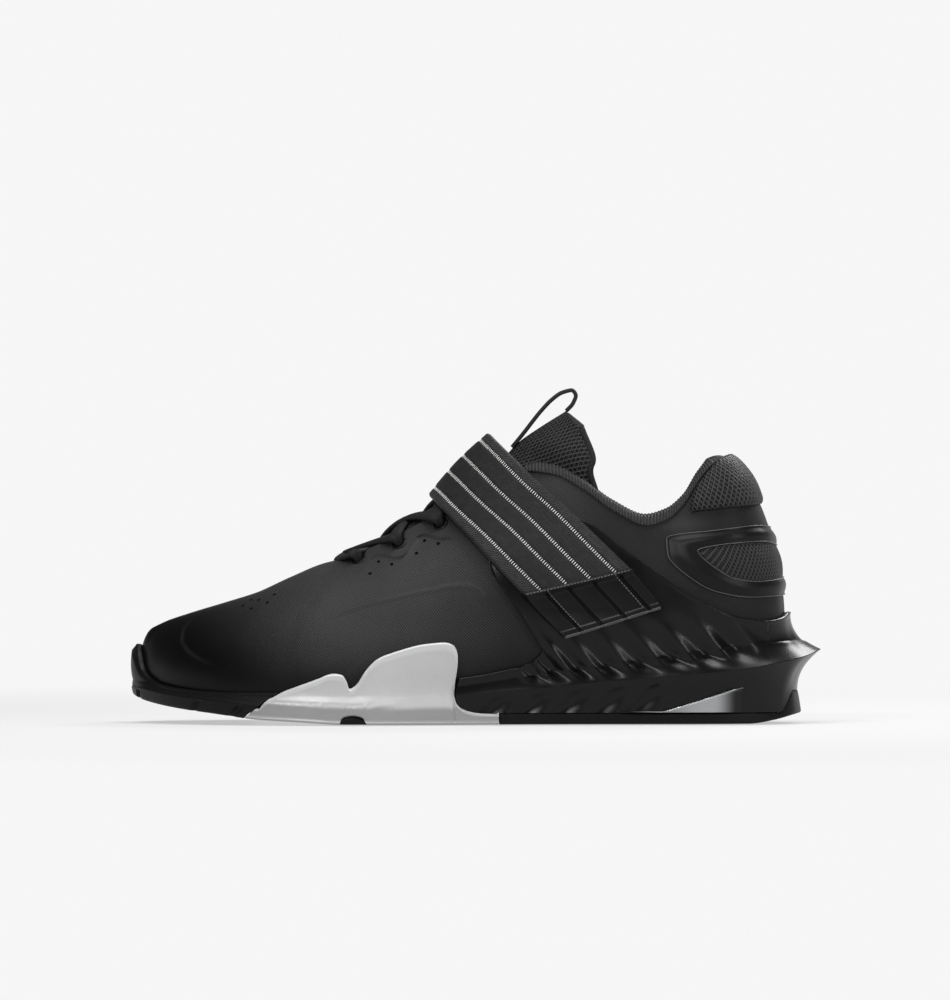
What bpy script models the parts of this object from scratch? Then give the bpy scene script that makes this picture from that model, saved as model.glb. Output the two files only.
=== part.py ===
# Low weightlifting shoe, left foot, standing on its sole.
# Lengths in the tables are millimetres. The toe points to -X, the outer side of the foot
# to -Y, and Z is up from the floor. The scene is in metres.

import math

import bmesh
import bpy
import numpy as np

# Driving dimensions

MM = 0.001
SEAT = 0.3                 # gap between pieces that touch
UPPER_WALL = 1.9           # cloth and film of the upper
COLLAR_WALL = 5.0          # the same wall where it is padded, round the collar
OUTSOLE = 4.6              # rubber under the foot
INSOLE = 3.0
WING = 2.4                 # silver wall that climbs from the forefoot rubber
BUMPER = 2.4               # rubber over the toe
LUG = 1.6                  # depth of the grooves across the outsole
FLUTE_DEPTH = 1.7          # slanted flutes in the side of the midsole
FLUTE_COUNT = 8
EYELET_RADIUS = 2.3
EYELET_SIDES = 8
LACE_WIDTH = 5.6
LACE_THICKNESS = 2.6
LACE_BAR_ARCH = 3.4        # rise of the lowest lace over the tongue
LACE_ARCHES = ((3.4, 4.6), (5.2, 6.4), (6.4, 7.4))
STRAP_THICKNESS = 2.2
BINDING_WIDTH = 6.6
BINDING_HEIGHT = 5.2
CORNER = 0.455             # place along the foot where the collar ends and the throat begins
THROAT = 0.73              # place along the foot where the throat ends and the vamp closes
JOIN = 0.50                # place where the silver forefoot rubber meets the midsole's side
HEEL_END = 0.4435          # place where the heel rubber ends
HEEL_GROOVES = (0.16, 0.24, 0.32, 0.40)
TOE_GROOVES = (0.825, 0.875, 0.925)
FORE_GROOVES_X = (-78.0, -30.0)
HEEL_STATIONS = (0.0, 0.006, 0.014, 0.024, 0.036, 0.05, 0.066)
FLUTE_START = 0.085        # the fluted part of the midsole's side
FLUTE_END = 0.40


class Curve:
    """Cubic curve through keyed values that never swings past them."""

    def __init__(self, keys, values):
        step = np.diff(keys)
        slope = np.diff(values) / step
        tangent = np.concatenate([slope[:1], np.zeros(len(slope) - 1), slope[-1:]])
        for row in range(1, len(slope)):
            before, after = slope[row - 1], slope[row]
            if before * after > 0:
                near = 2.0 * step[row] + step[row - 1]
                far = step[row] + 2.0 * step[row - 1]
                tangent[row] = (near + far) / (near / before + far / after)
        self.keys, self.values, self.step, self.tangent = keys, values, step, tangent

    def __call__(self, at):
        at = np.clip(np.asarray(at, dtype=float), self.keys[0], self.keys[-1])
        cell = np.clip(np.searchsorted(self.keys, at, side="right") - 1, 0, len(self.step) - 1)
        width = self.step[cell]
        t = (at - self.keys[cell]) / width
        low, high = self.values[cell], self.values[cell + 1]
        rise = (1.0 + 2.0 * t) * (1.0 - t) ** 2 * low + t ** 2 * (3.0 - 2.0 * t) * high
        bend = t * (1.0 - t) ** 2 * self.tangent[cell] - t ** 2 * (1.0 - t) * self.tangent[cell + 1]
        return rise + width * bend


class Table:
    """Rows with named columns; the first column is the key that a curve is read along."""

    def __init__(self, columns, rows):
        self.columns = columns.split()
        self.rows = np.array(rows, dtype=float)
        self.curves = {}

    def column(self, name):
        return self.rows[:, self.columns.index(name)]

    def read(self, name, at):
        if name not in self.curves:
            self.curves[name] = Curve(self.rows[:, 0], self.column(name))
        return self.curves[name](at)

    def around(self, outer, inner, at):
        """Read a column as a closed curve: below zero the outer side, above zero the inner."""
        if (outer, inner) not in self.curves:
            keys = self.rows[:, 0]
            loop = np.concatenate([-keys[::-1], keys[1:]])
            values = np.concatenate([self.column(outer)[::-1], self.column(inner)[1:]])
            keys = np.concatenate([loop[:-1] - 2.0, loop, loop[1:] + 2.0])
            values = np.concatenate([values[:-1], values, values[1:]])
            self.curves[(outer, inner)] = Curve(keys, values)
        return self.curves[(outer, inner)](at)


def blend(low, high, value):
    """0 below low, 1 above high, smooth between."""
    t = np.clip((np.asarray(value, dtype=float) - low) / (high - low), 0.0, 1.0)
    return t * t * (3.0 - 2.0 * t)


# Sections of the upper. s runs from the middle of the heel (0) to the tip of the toe (1).
# The base row is the feather line on the sole, the top row is the collar, the throat's edge
# and then the ridge of the vamp. rise and lean bend the wall at its base, crown and tuck at its top.

SECTIONS = Table(
    "s base_x base_out base_in base_z top_x top_out top_in top_z rise lean crown tuck",
    [
        (0.00, 133.8, 0.0, 0.0, 36.0, 108.0, 0.0, 0.0, 114.0, 24.0, 8.0, 16.8, 17.0),
        (0.03, 132.0, -11.5, 11.5, 35.8, 107.0, -8.0, 8.0, 113.6, 24.0, 8.0, 16.5, 20.0),
        (0.07, 124.5, -22.5, 22.0, 35.2, 103.5, -14.5, 14.5, 112.0, 24.0, 9.0, 17.0, 32.0),
        (0.11, 114.0, -28.8, 28.0, 34.0, 97.5, -19.0, 19.0, 105.5, 23.0, 10.0, 19.0, 50.0),
        (0.15, 101.5, -32.2, 31.2, 32.4, 90.5, -22.2, 22.0, 94.6, 22.0, 11.0, 20.0, 64.0),
        (0.19, 89.0, -33.6, 32.0, 30.8, 83.0, -24.4, 24.0, 88.0, 21.0, 12.0, 20.0, 70.0),
        (0.24, 73.5, -34.4, 31.8, 28.7, 74.0, -26.0, 25.5, 85.5, 20.0, 12.0, 20.0, 72.0),
        (0.30, 55.0, -35.2, 31.0, 26.0, 60.0, -26.8, 26.0, 91.8, 21.0, 12.0, 22.0, 72.0),
        (0.36, 36.5, -36.6, 30.4, 23.0, 46.0, -26.0, 25.2, 101.6, 22.0, 11.0, 25.0, 72.0),
        (0.41, 21.0, -38.6, 30.8, 20.5, 33.5, -24.4, 23.6, 107.6, 24.0, 9.0, 27.0, 70.0),
        (0.455, 6.5, -41.0, 32.0, 18.2, 22.0, -22.4, 21.6, 108.6, 26.0, 7.0, 28.0, 66.0),
        (0.50, -8.5, -43.8, 34.0, 16.0, 10.0, -19.6, 19.0, 103.6, 27.0, 6.0, 28.0, 60.0),
        (0.54, -22.0, -46.4, 36.8, 14.2, -3.0, -17.6, 17.2, 97.4, 27.0, 5.0, 28.0, 54.0),
        (0.58, -35.0, -48.6, 40.0, 12.8, -17.0, -16.0, 16.0, 89.9, 26.0, 5.0, 27.0, 48.0),
        (0.62, -48.0, -50.0, 43.6, 12.0, -31.0, -14.6, 15.0, 82.4, 25.0, 6.0, 26.0, 42.0),
        (0.66, -61.0, -50.2, 46.6, 11.6, -44.0, -12.8, 13.8, 76.0, 24.0, 8.0, 26.0, 34.0),
        (0.70, -74.0, -48.8, 48.2, 11.6, -56.0, -8.6, 11.2, 71.0, 23.0, 9.0, 28.0, 18.0),
        (0.73, -83.5, -46.4, 48.2, 11.8, -64.0, 1.5, 1.5, 69.0, 22.0, 10.0, 30.0, 0.0),
        (0.78, -98.5, -40.8, 46.4, 12.4, -76.5, 3.0, 3.0, 63.6, 20.0, 11.0, 27.0, 0.0),
        (0.83, -112.0, -33.2, 42.8, 13.6, -90.0, 5.0, 5.0, 57.0, 18.0, 12.0, 24.0, 0.0),
        (0.88, -124.5, -23.0, 37.0, 15.2, -104.0, 6.5, 6.5, 52.4, 15.5, 13.0, 20.0, 0.0),
        (0.93, -135.0, -10.5, 28.2, 17.0, -118.0, 7.8, 7.8, 48.2, 13.0, 15.0, 15.0, 0.0),
        (0.97, -141.5, 1.0, 18.6, 18.4, -130.0, 8.8, 8.8, 44.4, 10.5, 17.0, 9.5, 0.0),
        (1.00, -143.6, 9.6, 9.6, 19.0, -137.0, 9.6, 9.6, 41.4, 9.0, 18.0, 6.5, 0.0),
    ],
)

# The rubber's walking face, and how far the sole's foot stands out from the feather line

GROUND = Table(
    "s z out",
    [
        (0.00, 4.2, 7.6),
        (0.03, 3.6, 7.2),
        (0.06, 1.6, 5.4),
        (0.10, 0.0, 4.4),
        (0.22, 0.0, 4.2),
        (0.36, 0.0, 3.8),
        (0.50, 0.0, 3.8),
        (0.64, 0.0, 4.2),
        (0.70, 1.1, 4.4),
        (0.76, 2.2, 4.4),
        (0.82, 4.4, 4.4),
        (0.88, 6.4, 4.6),
        (0.94, 8.8, 4.8),
        (1.00, 12.0, 5.0),
    ],
)

# Side of the midsole: the sharp ridge, and the edge of the cage on either side of the foot

MIDSOLE = Table(
    "s foot_out ridge_z ridge_out edge_x edge_z inner_edge_x inner_edge_z edge_out",
    [
        (0.000, 6.0, 31.6, 16.2, 136.0, 47.6, 136.0, 47.6, 2.4),
        (0.012, 6.0, 31.0, 15.2, 135.5, 47.4, 135.5, 47.4, 2.4),
        (0.035, 5.8, 29.0, 12.6, 131.5, 45.6, 131.5, 45.6, 2.4),
        (0.070, 4.6, 26.4, 10.4, 125.5, 44.2, 125.5, 44.2, 2.4),
        (0.120, 4.0, 23.6, 9.0, 112.0, 46.0, 112.0, 46.0, 2.4),
        (0.160, 3.8, 22.0, 8.2, 98.5, 52.0, 98.5, 50.0, 2.4),
        (0.200, 3.6, 20.7, 7.4, 86.0, 59.6, 86.0, 55.0, 2.4),
        (0.230, 3.6, 19.6, 7.0, 73.5, 68.0, 75.0, 59.0, 2.4),
        (0.250, 3.6, 19.0, 6.8, 63.0, 75.5, 66.0, 61.0, 2.4),
        (0.270, 3.6, 18.5, 6.6, 47.0, 87.0, 55.0, 62.0, 2.4),
        (0.285, 3.6, 18.1, 6.4, 30.0, 92.5, 44.0, 61.0, 2.4),
        (0.298, 3.6, 17.8, 6.2, 13.0, 86.5, 34.0, 58.5, 2.4),
        (0.311, 3.6, 17.5, 6.0, 5.8, 72.4, 27.0, 53.5, 2.4),
        (0.340, 3.6, 16.8, 5.7, 16.4, 53.3, 25.5, 44.0, 2.4),
        (0.369, 3.6, 16.1, 5.4, 29.7, 34.0, 30.0, 33.0, 2.4),
        (0.390, 3.6, 15.7, 5.2, 24.0, 26.4, 24.0, 26.4, 2.4),
        (0.412, 3.6, 15.2, 5.0, 14.0, 23.6, 14.0, 23.6, 2.4),
        (0.459, 3.6, 14.0, 4.7, 2.0, 21.2, 2.0, 21.2, 2.6),
        (0.494, 3.6, 12.9, 4.5, -7.0, 19.9, -7.0, 19.9, 2.7),
    ],
)

# Silver forefoot rubber: the edge of its wings above each place along its foot

WINGS = Table(
    "foot_x edge_x edge_z inner_edge_z",
    [
        (-97.5, -91.9, 4.4, 4.4),
        (-91.0, -89.5, 9.0, 9.0),
        (-84.5, -83.0, 13.8, 13.2),
        (-78.0, -77.0, 16.2, 14.2),
        (-68.0, -68.0, 19.4, 15.0),
        (-61.0, -60.5, 21.9, 15.8),
        (-57.5, -57.0, 21.4, 16.0),
        (-55.5, -55.0, 18.8, 15.4),
        (-53.5, -53.6, 15.6, 14.4),
        (-51.0, -51.6, 16.6, 14.8),
        (-46.5, -46.6, 23.4, 16.8),
        (-42.0, -41.6, 28.2, 18.8),
        (-33.0, -33.2, 31.4, 20.8),
        (-22.0, -21.8, 34.4, 22.4),
        (-14.0, -13.0, 35.2, 23.0),
        (-11.0, -9.0, 33.8, 22.4),
        (-10.4, -7.5, 29.6, 20.6),
        (-10.0, -8.2, 22.6, 18.0),
        (-9.6, -9.8, 17.6, 15.6),
        (-9.3, -10.0, 12.0, 12.0),
        (-8.9, -9.2, 4.6, 4.6),
        (9.6, 9.6, 4.6, 4.6),
    ],
)

# Toe rubber: its rim above each place along its foot

BUMPER_RIM = Table(
    "foot_s rim_s rim_z",
    [
        (0.7775, 0.7305, 14.0),
        (0.83, 0.80, 14.0),
        (0.88, 0.87, 14.8),
        (0.91, 0.905, 15.8),
        (0.94, 0.94, 18.2),
        (0.965, 0.965, 23.0),
        (0.985, 0.985, 30.5),
        (1.00, 1.00, 34.4),
    ],
)

# Tongue: middle of its outer face, half width, how far its edges lie behind and below the
# middle, and thickness

TONGUE = Table(
    "t x z half behind below thick",
    [
        (0.00, -74.0, 61.6, 12.0, 1.0, 1.8, 2.2),
        (0.12, -58.0, 66.4, 15.0, 1.9, 4.3, 2.4),
        (0.26, -40.0, 75.0, 17.5, 4.2, 8.2, 2.8),
        (0.40, -22.0, 86.0, 18.5, 5.8, 9.8, 3.2),
        (0.54, -4.0, 97.6, 17.0, 7.4, 10.0, 4.0),
        (0.66, 10.0, 110.0, 15.0, 12.0, 10.5, 4.6),
        (0.76, 18.5, 119.6, 15.0, 24.0, 14.0, 5.4),
        (0.88, 29.0, 127.4, 15.6, 21.5, 15.0, 6.0),
        (1.00, 39.0, 134.2, 13.0, 7.0, 6.6, 4.6),
    ],
)

# Strap: its front and rear edge from the free end on the outer side over the instep to the
# inner side. A row with a lift lies that far off the upper; the others give their own y.

STRAP_EDGES = Table(
    "t side front_x front_z rear_x rear_z front_lift rear_lift front_y rear_y",
    [
        (0.00, -1, 20.6, 55.2, 67.2, 65.6, 3.5, 3.4, 0.0, 0.0),
        (0.13, -1, 8.6, 67.6, 53.0, 79.4, 3.5, 3.4, 0.0, 0.0),
        (0.26, -1, -3.4, 80.4, 39.0, 93.2, 3.3, 3.4, 0.0, 0.0),
        (0.36, -1, -12.2, 90.4, 26.6, 105.2, 0.0, 0.0, -24.0, -29.8),
        (0.44, -1, -17.0, 95.4, 15.4, 116.2, 0.0, 0.0, -14.5, -22.8),
        (0.52, 0, -18.6, 97.0, 6.6, 124.8, 0.0, 0.0, 0.0, 0.0),
        (0.60, 1, -17.4, 95.4, 15.0, 116.2, 0.0, 0.0, 14.5, 22.4),
        (0.68, 1, -11.6, 90.9, 26.0, 105.4, 0.0, 0.0, 23.9, 28.8),
        (0.80, 1, 0.0, 79.0, 42.0, 91.0, 2.4, 2.4, 0.0, 0.0),
        (1.00, 1, 25.0, 60.6, 64.0, 65.4, 0.8, 0.8, 0.0, 0.0),
    ],
)

STRAP_TIP = Table(
    "t front_x front_z rear_x rear_z",
    [
        (0.0, 20.6, 54.6, 67.6, 65.0),
        (0.5, 29.0, 45.8, 74.6, 57.4),
        (1.0, 37.4, 37.4, 81.4, 50.0),
    ],
)

# Moulded frame behind the ankle: outer outline, then the window inside it, as half loops

HEEL_FRAME = Table(
    "t outer_x outer_z window_x window_z",
    [
        (0.00, 136.0, 84.4, 136.0, 76.0),
        (0.14, 121.0, 85.2, 122.5, 78.0),
        (0.28, 101.0, 83.0, 110.0, 77.2),
        (0.40, 82.6, 79.8, 97.0, 74.2),
        (0.50, 83.0, 73.2, 98.5, 72.0),
        (0.62, 92.0, 63.4, 104.5, 67.0),
        (0.76, 105.0, 56.6, 112.0, 62.8),
        (0.88, 119.0, 54.4, 122.0, 61.4),
        (1.00, 136.0, 55.2, 136.0, 63.0),
    ],
)

HEEL_TAB = Table(
    "s low_z share",
    [
        (0.00, 94.4, 0.97),
        (0.04, 94.0, 0.97),
        (0.08, 93.2, 0.965),
        (0.12, 91.8, 0.96),
        (0.145, 90.8, 0.95),
    ],
)

HEEL_PLATE = Table(
    "s top_z",
    [
        (0.105, 14.6),
        (0.125, 14.2),
        (0.150, 11.6),
        (0.175, 9.0),
        (0.205, 7.4),
        (0.240, 6.4),
    ],
)

# Eyelets: where the lace holes of each side lie along the shoe

EYELET_X_OUTER = (-50.0, -32.5, -14.8, 2.0)
EYELET_X_INNER = (-55.0, -38.0, -20.5, -3.2)


# The upper's own surface

def outline(u):
    """Feather line: u below zero is the outer side, above zero the inner."""
    return np.stack([
        SECTIONS.around("base_x", "base_x", u),
        SECTIONS.around("base_out", "base_in", u),
        SECTIONS.around("base_z", "base_z", u),
    ], axis=-1)


def outward(u):
    """Level direction that points away from the foot."""
    step = 0.004
    run = outline(u + step) - outline(u - step)
    normal = np.stack([run[..., 1], -run[..., 0], np.zeros_like(run[..., 0])], axis=-1)
    return normal / np.linalg.norm(normal, axis=-1, keepdims=True)


def wall(u, v):
    """Outer face of the upper: v is 0 at the sole and 1 at the top edge."""
    u, v = np.broadcast_arrays(np.asarray(u, dtype=float), np.asarray(v, dtype=float))
    base = outline(u)
    top = np.stack([
        SECTIONS.around("top_x", "top_x", u),
        SECTIONS.around("top_out", "top_in", u),
        SECTIONS.around("top_z", "top_z", u),
    ], axis=-1)
    out = outward(u)
    up = np.array([0.0, 0.0, 1.0])
    lean = np.radians(SECTIONS.around("lean", "lean", u))[..., None]
    tuck = np.radians(SECTIONS.around("tuck", "tuck", u))[..., None]
    rise = SECTIONS.around("rise", "rise", u)[..., None]
    crown = SECTIONS.around("crown", "crown", u)[..., None]
    low = base + rise * (out * np.sin(lean) + up * np.cos(lean))
    high = top + crown * (out * np.cos(tuck) - up * np.sin(tuck))
    t = v[..., None]
    return (1 - t) ** 3 * base + 3 * t * (1 - t) ** 2 * low + 3 * t ** 2 * (1 - t) * high + t ** 3 * top


def wall_normal(u, v):
    u, v = np.broadcast_arrays(np.asarray(u, dtype=float), np.asarray(v, dtype=float))
    v = np.clip(v, 0.0, 0.985)
    step = 0.003
    along = wall(u + step, v) - wall(u - step, v)
    up = wall(u, np.clip(v + step, 0, 1)) - wall(u, np.clip(v - step, 0, 1))
    normal = np.cross(along, up)
    return normal / np.linalg.norm(normal, axis=-1, keepdims=True)


PLACES = np.linspace(-1.0, 1.0, 801)
SHARES = np.linspace(0.0, 1.0, 61)
WALL_POINTS = wall(PLACES[:, None], SHARES[None, :])
HEIGHTS = np.maximum.accumulate(WALL_POINTS[..., 2], axis=-1)


def share_at(u, z):
    """How far up its wall the upper reaches height z."""
    u, z = np.broadcast_arrays(np.asarray(u, dtype=float), np.asarray(z, dtype=float))
    place = (np.clip(u, -1.0, 1.0) + 1.0) / 2.0 * (len(PLACES) - 1)
    cell = np.clip(place.astype(int), 0, len(PLACES) - 2)
    part = (place - cell)[..., None]
    rows = HEIGHTS[cell] * (1.0 - part) + HEIGHTS[cell + 1] * part
    above = np.clip(np.sum(rows < z[..., None], axis=-1), 1, len(SHARES) - 1)[..., None]
    low = np.take_along_axis(rows, above - 1, axis=-1)[..., 0]
    high = np.take_along_axis(rows, above, axis=-1)[..., 0]
    within = np.clip((z - low) / np.maximum(high - low, 1e-6), 0.0, 1.0)
    return (above[..., 0] - 1 + within) / (len(SHARES) - 1)


def skin(u, z, lift):
    """Point at height z, lifted off the upper; under the feather line it drops straight down."""
    u, z, lift = np.broadcast_arrays(
        np.asarray(u, dtype=float), np.asarray(z, dtype=float), np.asarray(lift, dtype=float))
    v = share_at(u, z)
    over = wall(u, v) + wall_normal(u, v) * lift[..., None]
    under = outline(u) + outward(u) * lift[..., None]
    under[..., 2] = z
    sunk = blend(0.0, 4.0, outline(u)[..., 2] + 2.0 - z)[..., None]
    return over * (1.0 - sunk) + under * sunk


def station(side, x, z):
    """Place along the foot where the upper at height z lies at x."""
    s = np.linspace(0.0, 1.0, 201)
    u = side * s
    forward = wall(u, share_at(u, z))[..., 0]
    return float(np.interp(-x, np.maximum.accumulate(-forward), s))


# Mesh building

def material(name, colour, roughness, metallic=0.0):
    made = bpy.data.materials.new(name)
    made.use_nodes = True
    shader = made.node_tree.nodes["Principled BSDF"]
    shader.inputs["Base Color"].default_value = (*colour, 1.0)
    shader.inputs["Roughness"].default_value = roughness
    shader.inputs["Metallic"].default_value = metallic
    return made


def make_object(name, points, faces, finish, crease=38.0):
    """Weld the points, turn the faces outwards and link the piece."""
    mesh = bpy.data.meshes.new(name)
    mesh.from_pydata([tuple(point * MM) for point in points], [], faces)
    work = bmesh.new()
    work.from_mesh(mesh)
    bmesh.ops.remove_doubles(work, verts=work.verts, dist=0.00002)
    bmesh.ops.dissolve_degenerate(work, edges=work.edges, dist=0.00001)
    bmesh.ops.recalc_face_normals(work, faces=work.faces)
    work.to_mesh(mesh)
    work.free()
    mesh.shade_smooth()
    mesh.set_sharp_from_angle(angle=math.radians(crease))
    mesh.materials.append(finish)
    piece = bpy.data.objects.new(name, mesh)
    bpy.context.scene.collection.objects.link(piece)
    return piece


def grid_faces(rows, columns, start=0, wrap_rows=False, wrap_columns=False):
    """Four-sided faces of a grid of points that is stored row by row."""
    faces = []
    for row in range(rows if wrap_rows else rows - 1):
        below = (row + 1) % rows
        for column in range(columns if wrap_columns else columns - 1):
            beside = (column + 1) % columns
            faces.append((
                start + row * columns + column,
                start + row * columns + beside,
                start + below * columns + beside,
                start + below * columns + column,
            ))
    return faces


def shell(name, outer, inner, finish, crease=38.0, first=True, last=True):
    """Closed solid between two grids of points of the same size.

    The first or last row is left without an end face where both halves meet on the middle line.
    """
    rows, columns = outer.shape[:2]
    points = np.concatenate([outer.reshape(-1, 3), inner.reshape(-1, 3)])
    count = rows * columns
    faces = grid_faces(rows, columns)
    faces += [face[::-1] for face in grid_faces(rows, columns, start=count)]
    border = [(column, column + 1, first) for column in range(columns - 1)]
    border += [(row * columns + columns - 1, (row + 1) * columns + columns - 1, True)
               for row in range(rows - 1)]
    border += [(count - 1 - column, count - 2 - column, last) for column in range(columns - 1)]
    border += [((row + 1) * columns, row * columns, True) for row in range(rows - 1)]
    for here, there, closed in border:
        if closed:
            faces.append((there, here, here + count, there + count))
    return make_object(name, points, faces, finish, crease)


def tube(name, path, across, up, profile, finish, closed=False):
    """Sweep a profile, given as (across, up) pairs, along a path with its own axes."""
    points = []
    for place, side, rise in zip(path, across, up):
        for a, b in profile:
            points.append(place + side * a + rise * b)
    rows, columns = len(path), len(profile)
    faces = grid_faces(rows, columns, wrap_rows=closed, wrap_columns=True)
    if not closed:
        faces.append(tuple(range(columns)))
        faces.append(tuple(range((rows - 1) * columns, rows * columns))[::-1])
    return make_object(name, np.array(points), faces, finish)


def grid_normals(grid):
    """Normals of a grid of points, from its neighbours along both ways."""
    along = np.gradient(grid, axis=0)
    across = np.gradient(grid, axis=1)
    normal = np.cross(along, across)
    return normal / np.maximum(np.linalg.norm(normal, axis=-1, keepdims=True), 1e-9)


def both_sides(path_of):
    """Join the outer side's path, foot last, to the inner side's path, foot first."""
    return np.concatenate([path_of(-1), path_of(1)[::-1]])


def boolean(piece, other, operation):
    """Join or cut a piece for good with another object, which is then taken away."""
    step = piece.modifiers.new(operation.title(), "BOOLEAN")
    step.operation = operation
    step.object = other
    step.solver = "EXACT"
    shapes = bpy.context.evaluated_depsgraph_get()
    mesh = bpy.data.meshes.new_from_object(piece.evaluated_get(shapes))
    piece.modifiers.clear()
    piece.data = mesh
    bpy.data.objects.remove(other)


# Finishes

def finishes():
    return {
        "cloth": material("upper_cloth", (0.030, 0.030, 0.032), 0.62),
        "knit": material("collar_knit", (0.018, 0.018, 0.019), 0.85),
        "mesh": material("coarse_mesh", (0.016, 0.016, 0.017), 0.8),
        "moulded": material("moulded_black", (0.010, 0.010, 0.011), 0.28),
        "rubber": material("black_rubber", (0.014, 0.014, 0.015), 0.5),
        "silver": material("silver_rubber", (0.36, 0.36, 0.37), 0.42, 0.6),
        "clear": material("heel_plate_gloss", (0.30, 0.31, 0.32), 0.2, 0.4),
        "webbing": material("strap_webbing", (0.016, 0.016, 0.017), 0.7),
        "lace": material("lace_cord", (0.014, 0.014, 0.015), 0.75),
        "lining": material("lining", (0.020, 0.020, 0.022), 0.9),
    }


# Upper

def upper_thickness(s, v):
    """Thin over the foot, padded along the collar."""
    collar = (1.0 - blend(0.40, 0.47, s)) * blend(0.45, 0.85, v)
    return UPPER_WALL + (COLLAR_WALL - UPPER_WALL) * collar


def upper_stations():
    heel = np.linspace(0.0, 0.13, 9)[:-1]
    middle = np.linspace(0.13, THROAT, 18)
    toe = np.linspace(THROAT, 1.0, 10)[1:]
    return np.concatenate([heel, middle, toe])


def build_upper(finish):
    stations = upper_stations()
    ring = np.concatenate([-stations[::-1], stations[1:-1]])
    shares = np.array([0.0, 0.12, 0.26, 0.40, 0.54, 0.68, 0.81, 0.92, 1.0])
    u, v = np.meshgrid(ring, shares, indexing="ij")
    outer = wall(u, v)
    normal = wall_normal(u, v)
    ridge = np.abs(ring) >= THROAT - 1e-6
    pairs = [(row, len(ring) - row) for row in range(1, len(stations)) if ridge[row]]
    for row, other in [(0, 0)] + pairs:
        top = 0.5 * (normal[row, -1] + normal[other, -1])
        top[1] = 0.0
        normal[row, -1] = normal[other, -1] = top / np.linalg.norm(top)
        outer[row, -1] = outer[other, -1] = 0.5 * (outer[row, -1] + outer[other, -1])
    inner = outer - normal * upper_thickness(np.abs(u), v)[..., None]
    rows, columns = outer.shape[:2]
    count = rows * columns
    points = np.concatenate([outer.reshape(-1, 3), inner.reshape(-1, 3)])
    faces = grid_faces(rows, columns, wrap_rows=True)
    faces += [face[::-1] for face in grid_faces(rows, columns, start=count, wrap_rows=True)]
    for row in range(rows):
        after = (row + 1) % rows
        foot, foot_after = row * columns, after * columns
        faces.append((foot, foot_after, foot_after + count, foot + count))
        if ridge[row] and ridge[after]:
            continue
        top, top_after = foot + columns - 1, foot_after + columns - 1
        faces.append((top_after, top, top + count, top_after + count))
    upper = make_object("upper", points, faces, finish, crease=50.0)
    for place, direction in eyelet_places():
        boolean(upper, eyelet_cutter(place, direction), "DIFFERENCE")
    return upper


def eyelet_places():
    """Middle and direction of each lace hole, the outer side's first."""
    places = []
    for side, columns in ((-1, EYELET_X_OUTER), (1, EYELET_X_INNER)):
        for x in columns:
            share = 0.925
            s = 0.5
            for _ in range(30):
                s -= (x - wall(side * s, share)[..., 0]) / 350.0
            normal = wall_normal(side * s, share)
            places.append((wall(side * s, share), normal))
    return places


def eyelet_cutter(place, direction):
    """Short rod through the wall at a lace hole."""
    side = np.cross(direction, (1.0, 0.0, 0.0))
    side /= np.linalg.norm(side)
    along = np.cross(side, direction)
    profile = []
    for corner in range(EYELET_SIDES):
        angle = 2.0 * math.pi * corner / EYELET_SIDES
        profile.append((EYELET_RADIUS * math.cos(angle), EYELET_RADIUS * math.sin(angle)))
    path = np.array([place - direction * 6.0, place + direction * 5.0])
    cutter = tube("eyelet_cutter", path, [along] * 2, [side] * 2, profile, None)
    cutter.hide_render = True
    cutter.display_type = "WIRE"
    return cutter


# Sole

def outsole_top(s):
    """Height where rubber ends and midsole begins; it climbs behind the heel."""
    level = GROUND.read("z", s) + OUTSOLE
    heel = 1.0 - blend(0.03, 0.055, s)
    return np.where(s < 0.12, OUTSOLE + (14.0 - OUTSOLE) * heel, level)


def flutes(s, climb):
    """How far the slanted flutes sink the side, between the ridge (0) and the cage's edge (1)."""
    phase = (np.asarray(s) - FLUTE_START) / (FLUTE_END - FLUTE_START)
    inside = blend(0.0, 0.06, phase) * (1.0 - blend(0.93, 1.0, phase))
    wave = 0.5 - 0.5 * np.cos(2.0 * math.pi * FLUTE_COUNT * phase)
    reach = blend(0.02, 0.22, climb) * (1.0 - blend(0.42, 0.8, climb))
    return FLUTE_DEPTH * wave * inside * reach


def midsole_side(side, s, climb):
    """Outer face of the midsole: climb runs -1 at its foot, 0 on the ridge, 1 at the cage's edge."""
    edge_s, edge_z = cage_edge(side, s)
    ridge_z = MIDSOLE.read("ridge_z", s)
    ridge_out = MIDSOLE.read("ridge_out", s)
    if climb <= 0:
        low = outsole_top(s) + SEAT
        z = ridge_z + (ridge_z - low) * climb
        hollow = (1.0 + climb) ** 2.2
        foot = MIDSOLE.read("foot_out", s)
        return side * s, z, foot + (ridge_out - foot) * hollow
    z = ridge_z + (edge_z - ridge_z) * climb
    lip = MIDSOLE.read("edge_out", s)
    hollow = (1.0 - climb) ** 2.6
    out = lip + (ridge_out - lip) * hollow - flutes(s, climb) * (ridge_out - lip) / 4.0
    return side * (s + (edge_s - s) * climb), z, max(out, lip - 0.1)


def cage_edge(side, s):
    prefix = "edge" if side < 0 else "inner_edge"
    x = float(MIDSOLE.read(prefix + "_x", s))
    z = float(MIDSOLE.read(prefix + "_z", s))
    if s <= 0.07:
        return s, z
    return station(side, x, z), z


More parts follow.
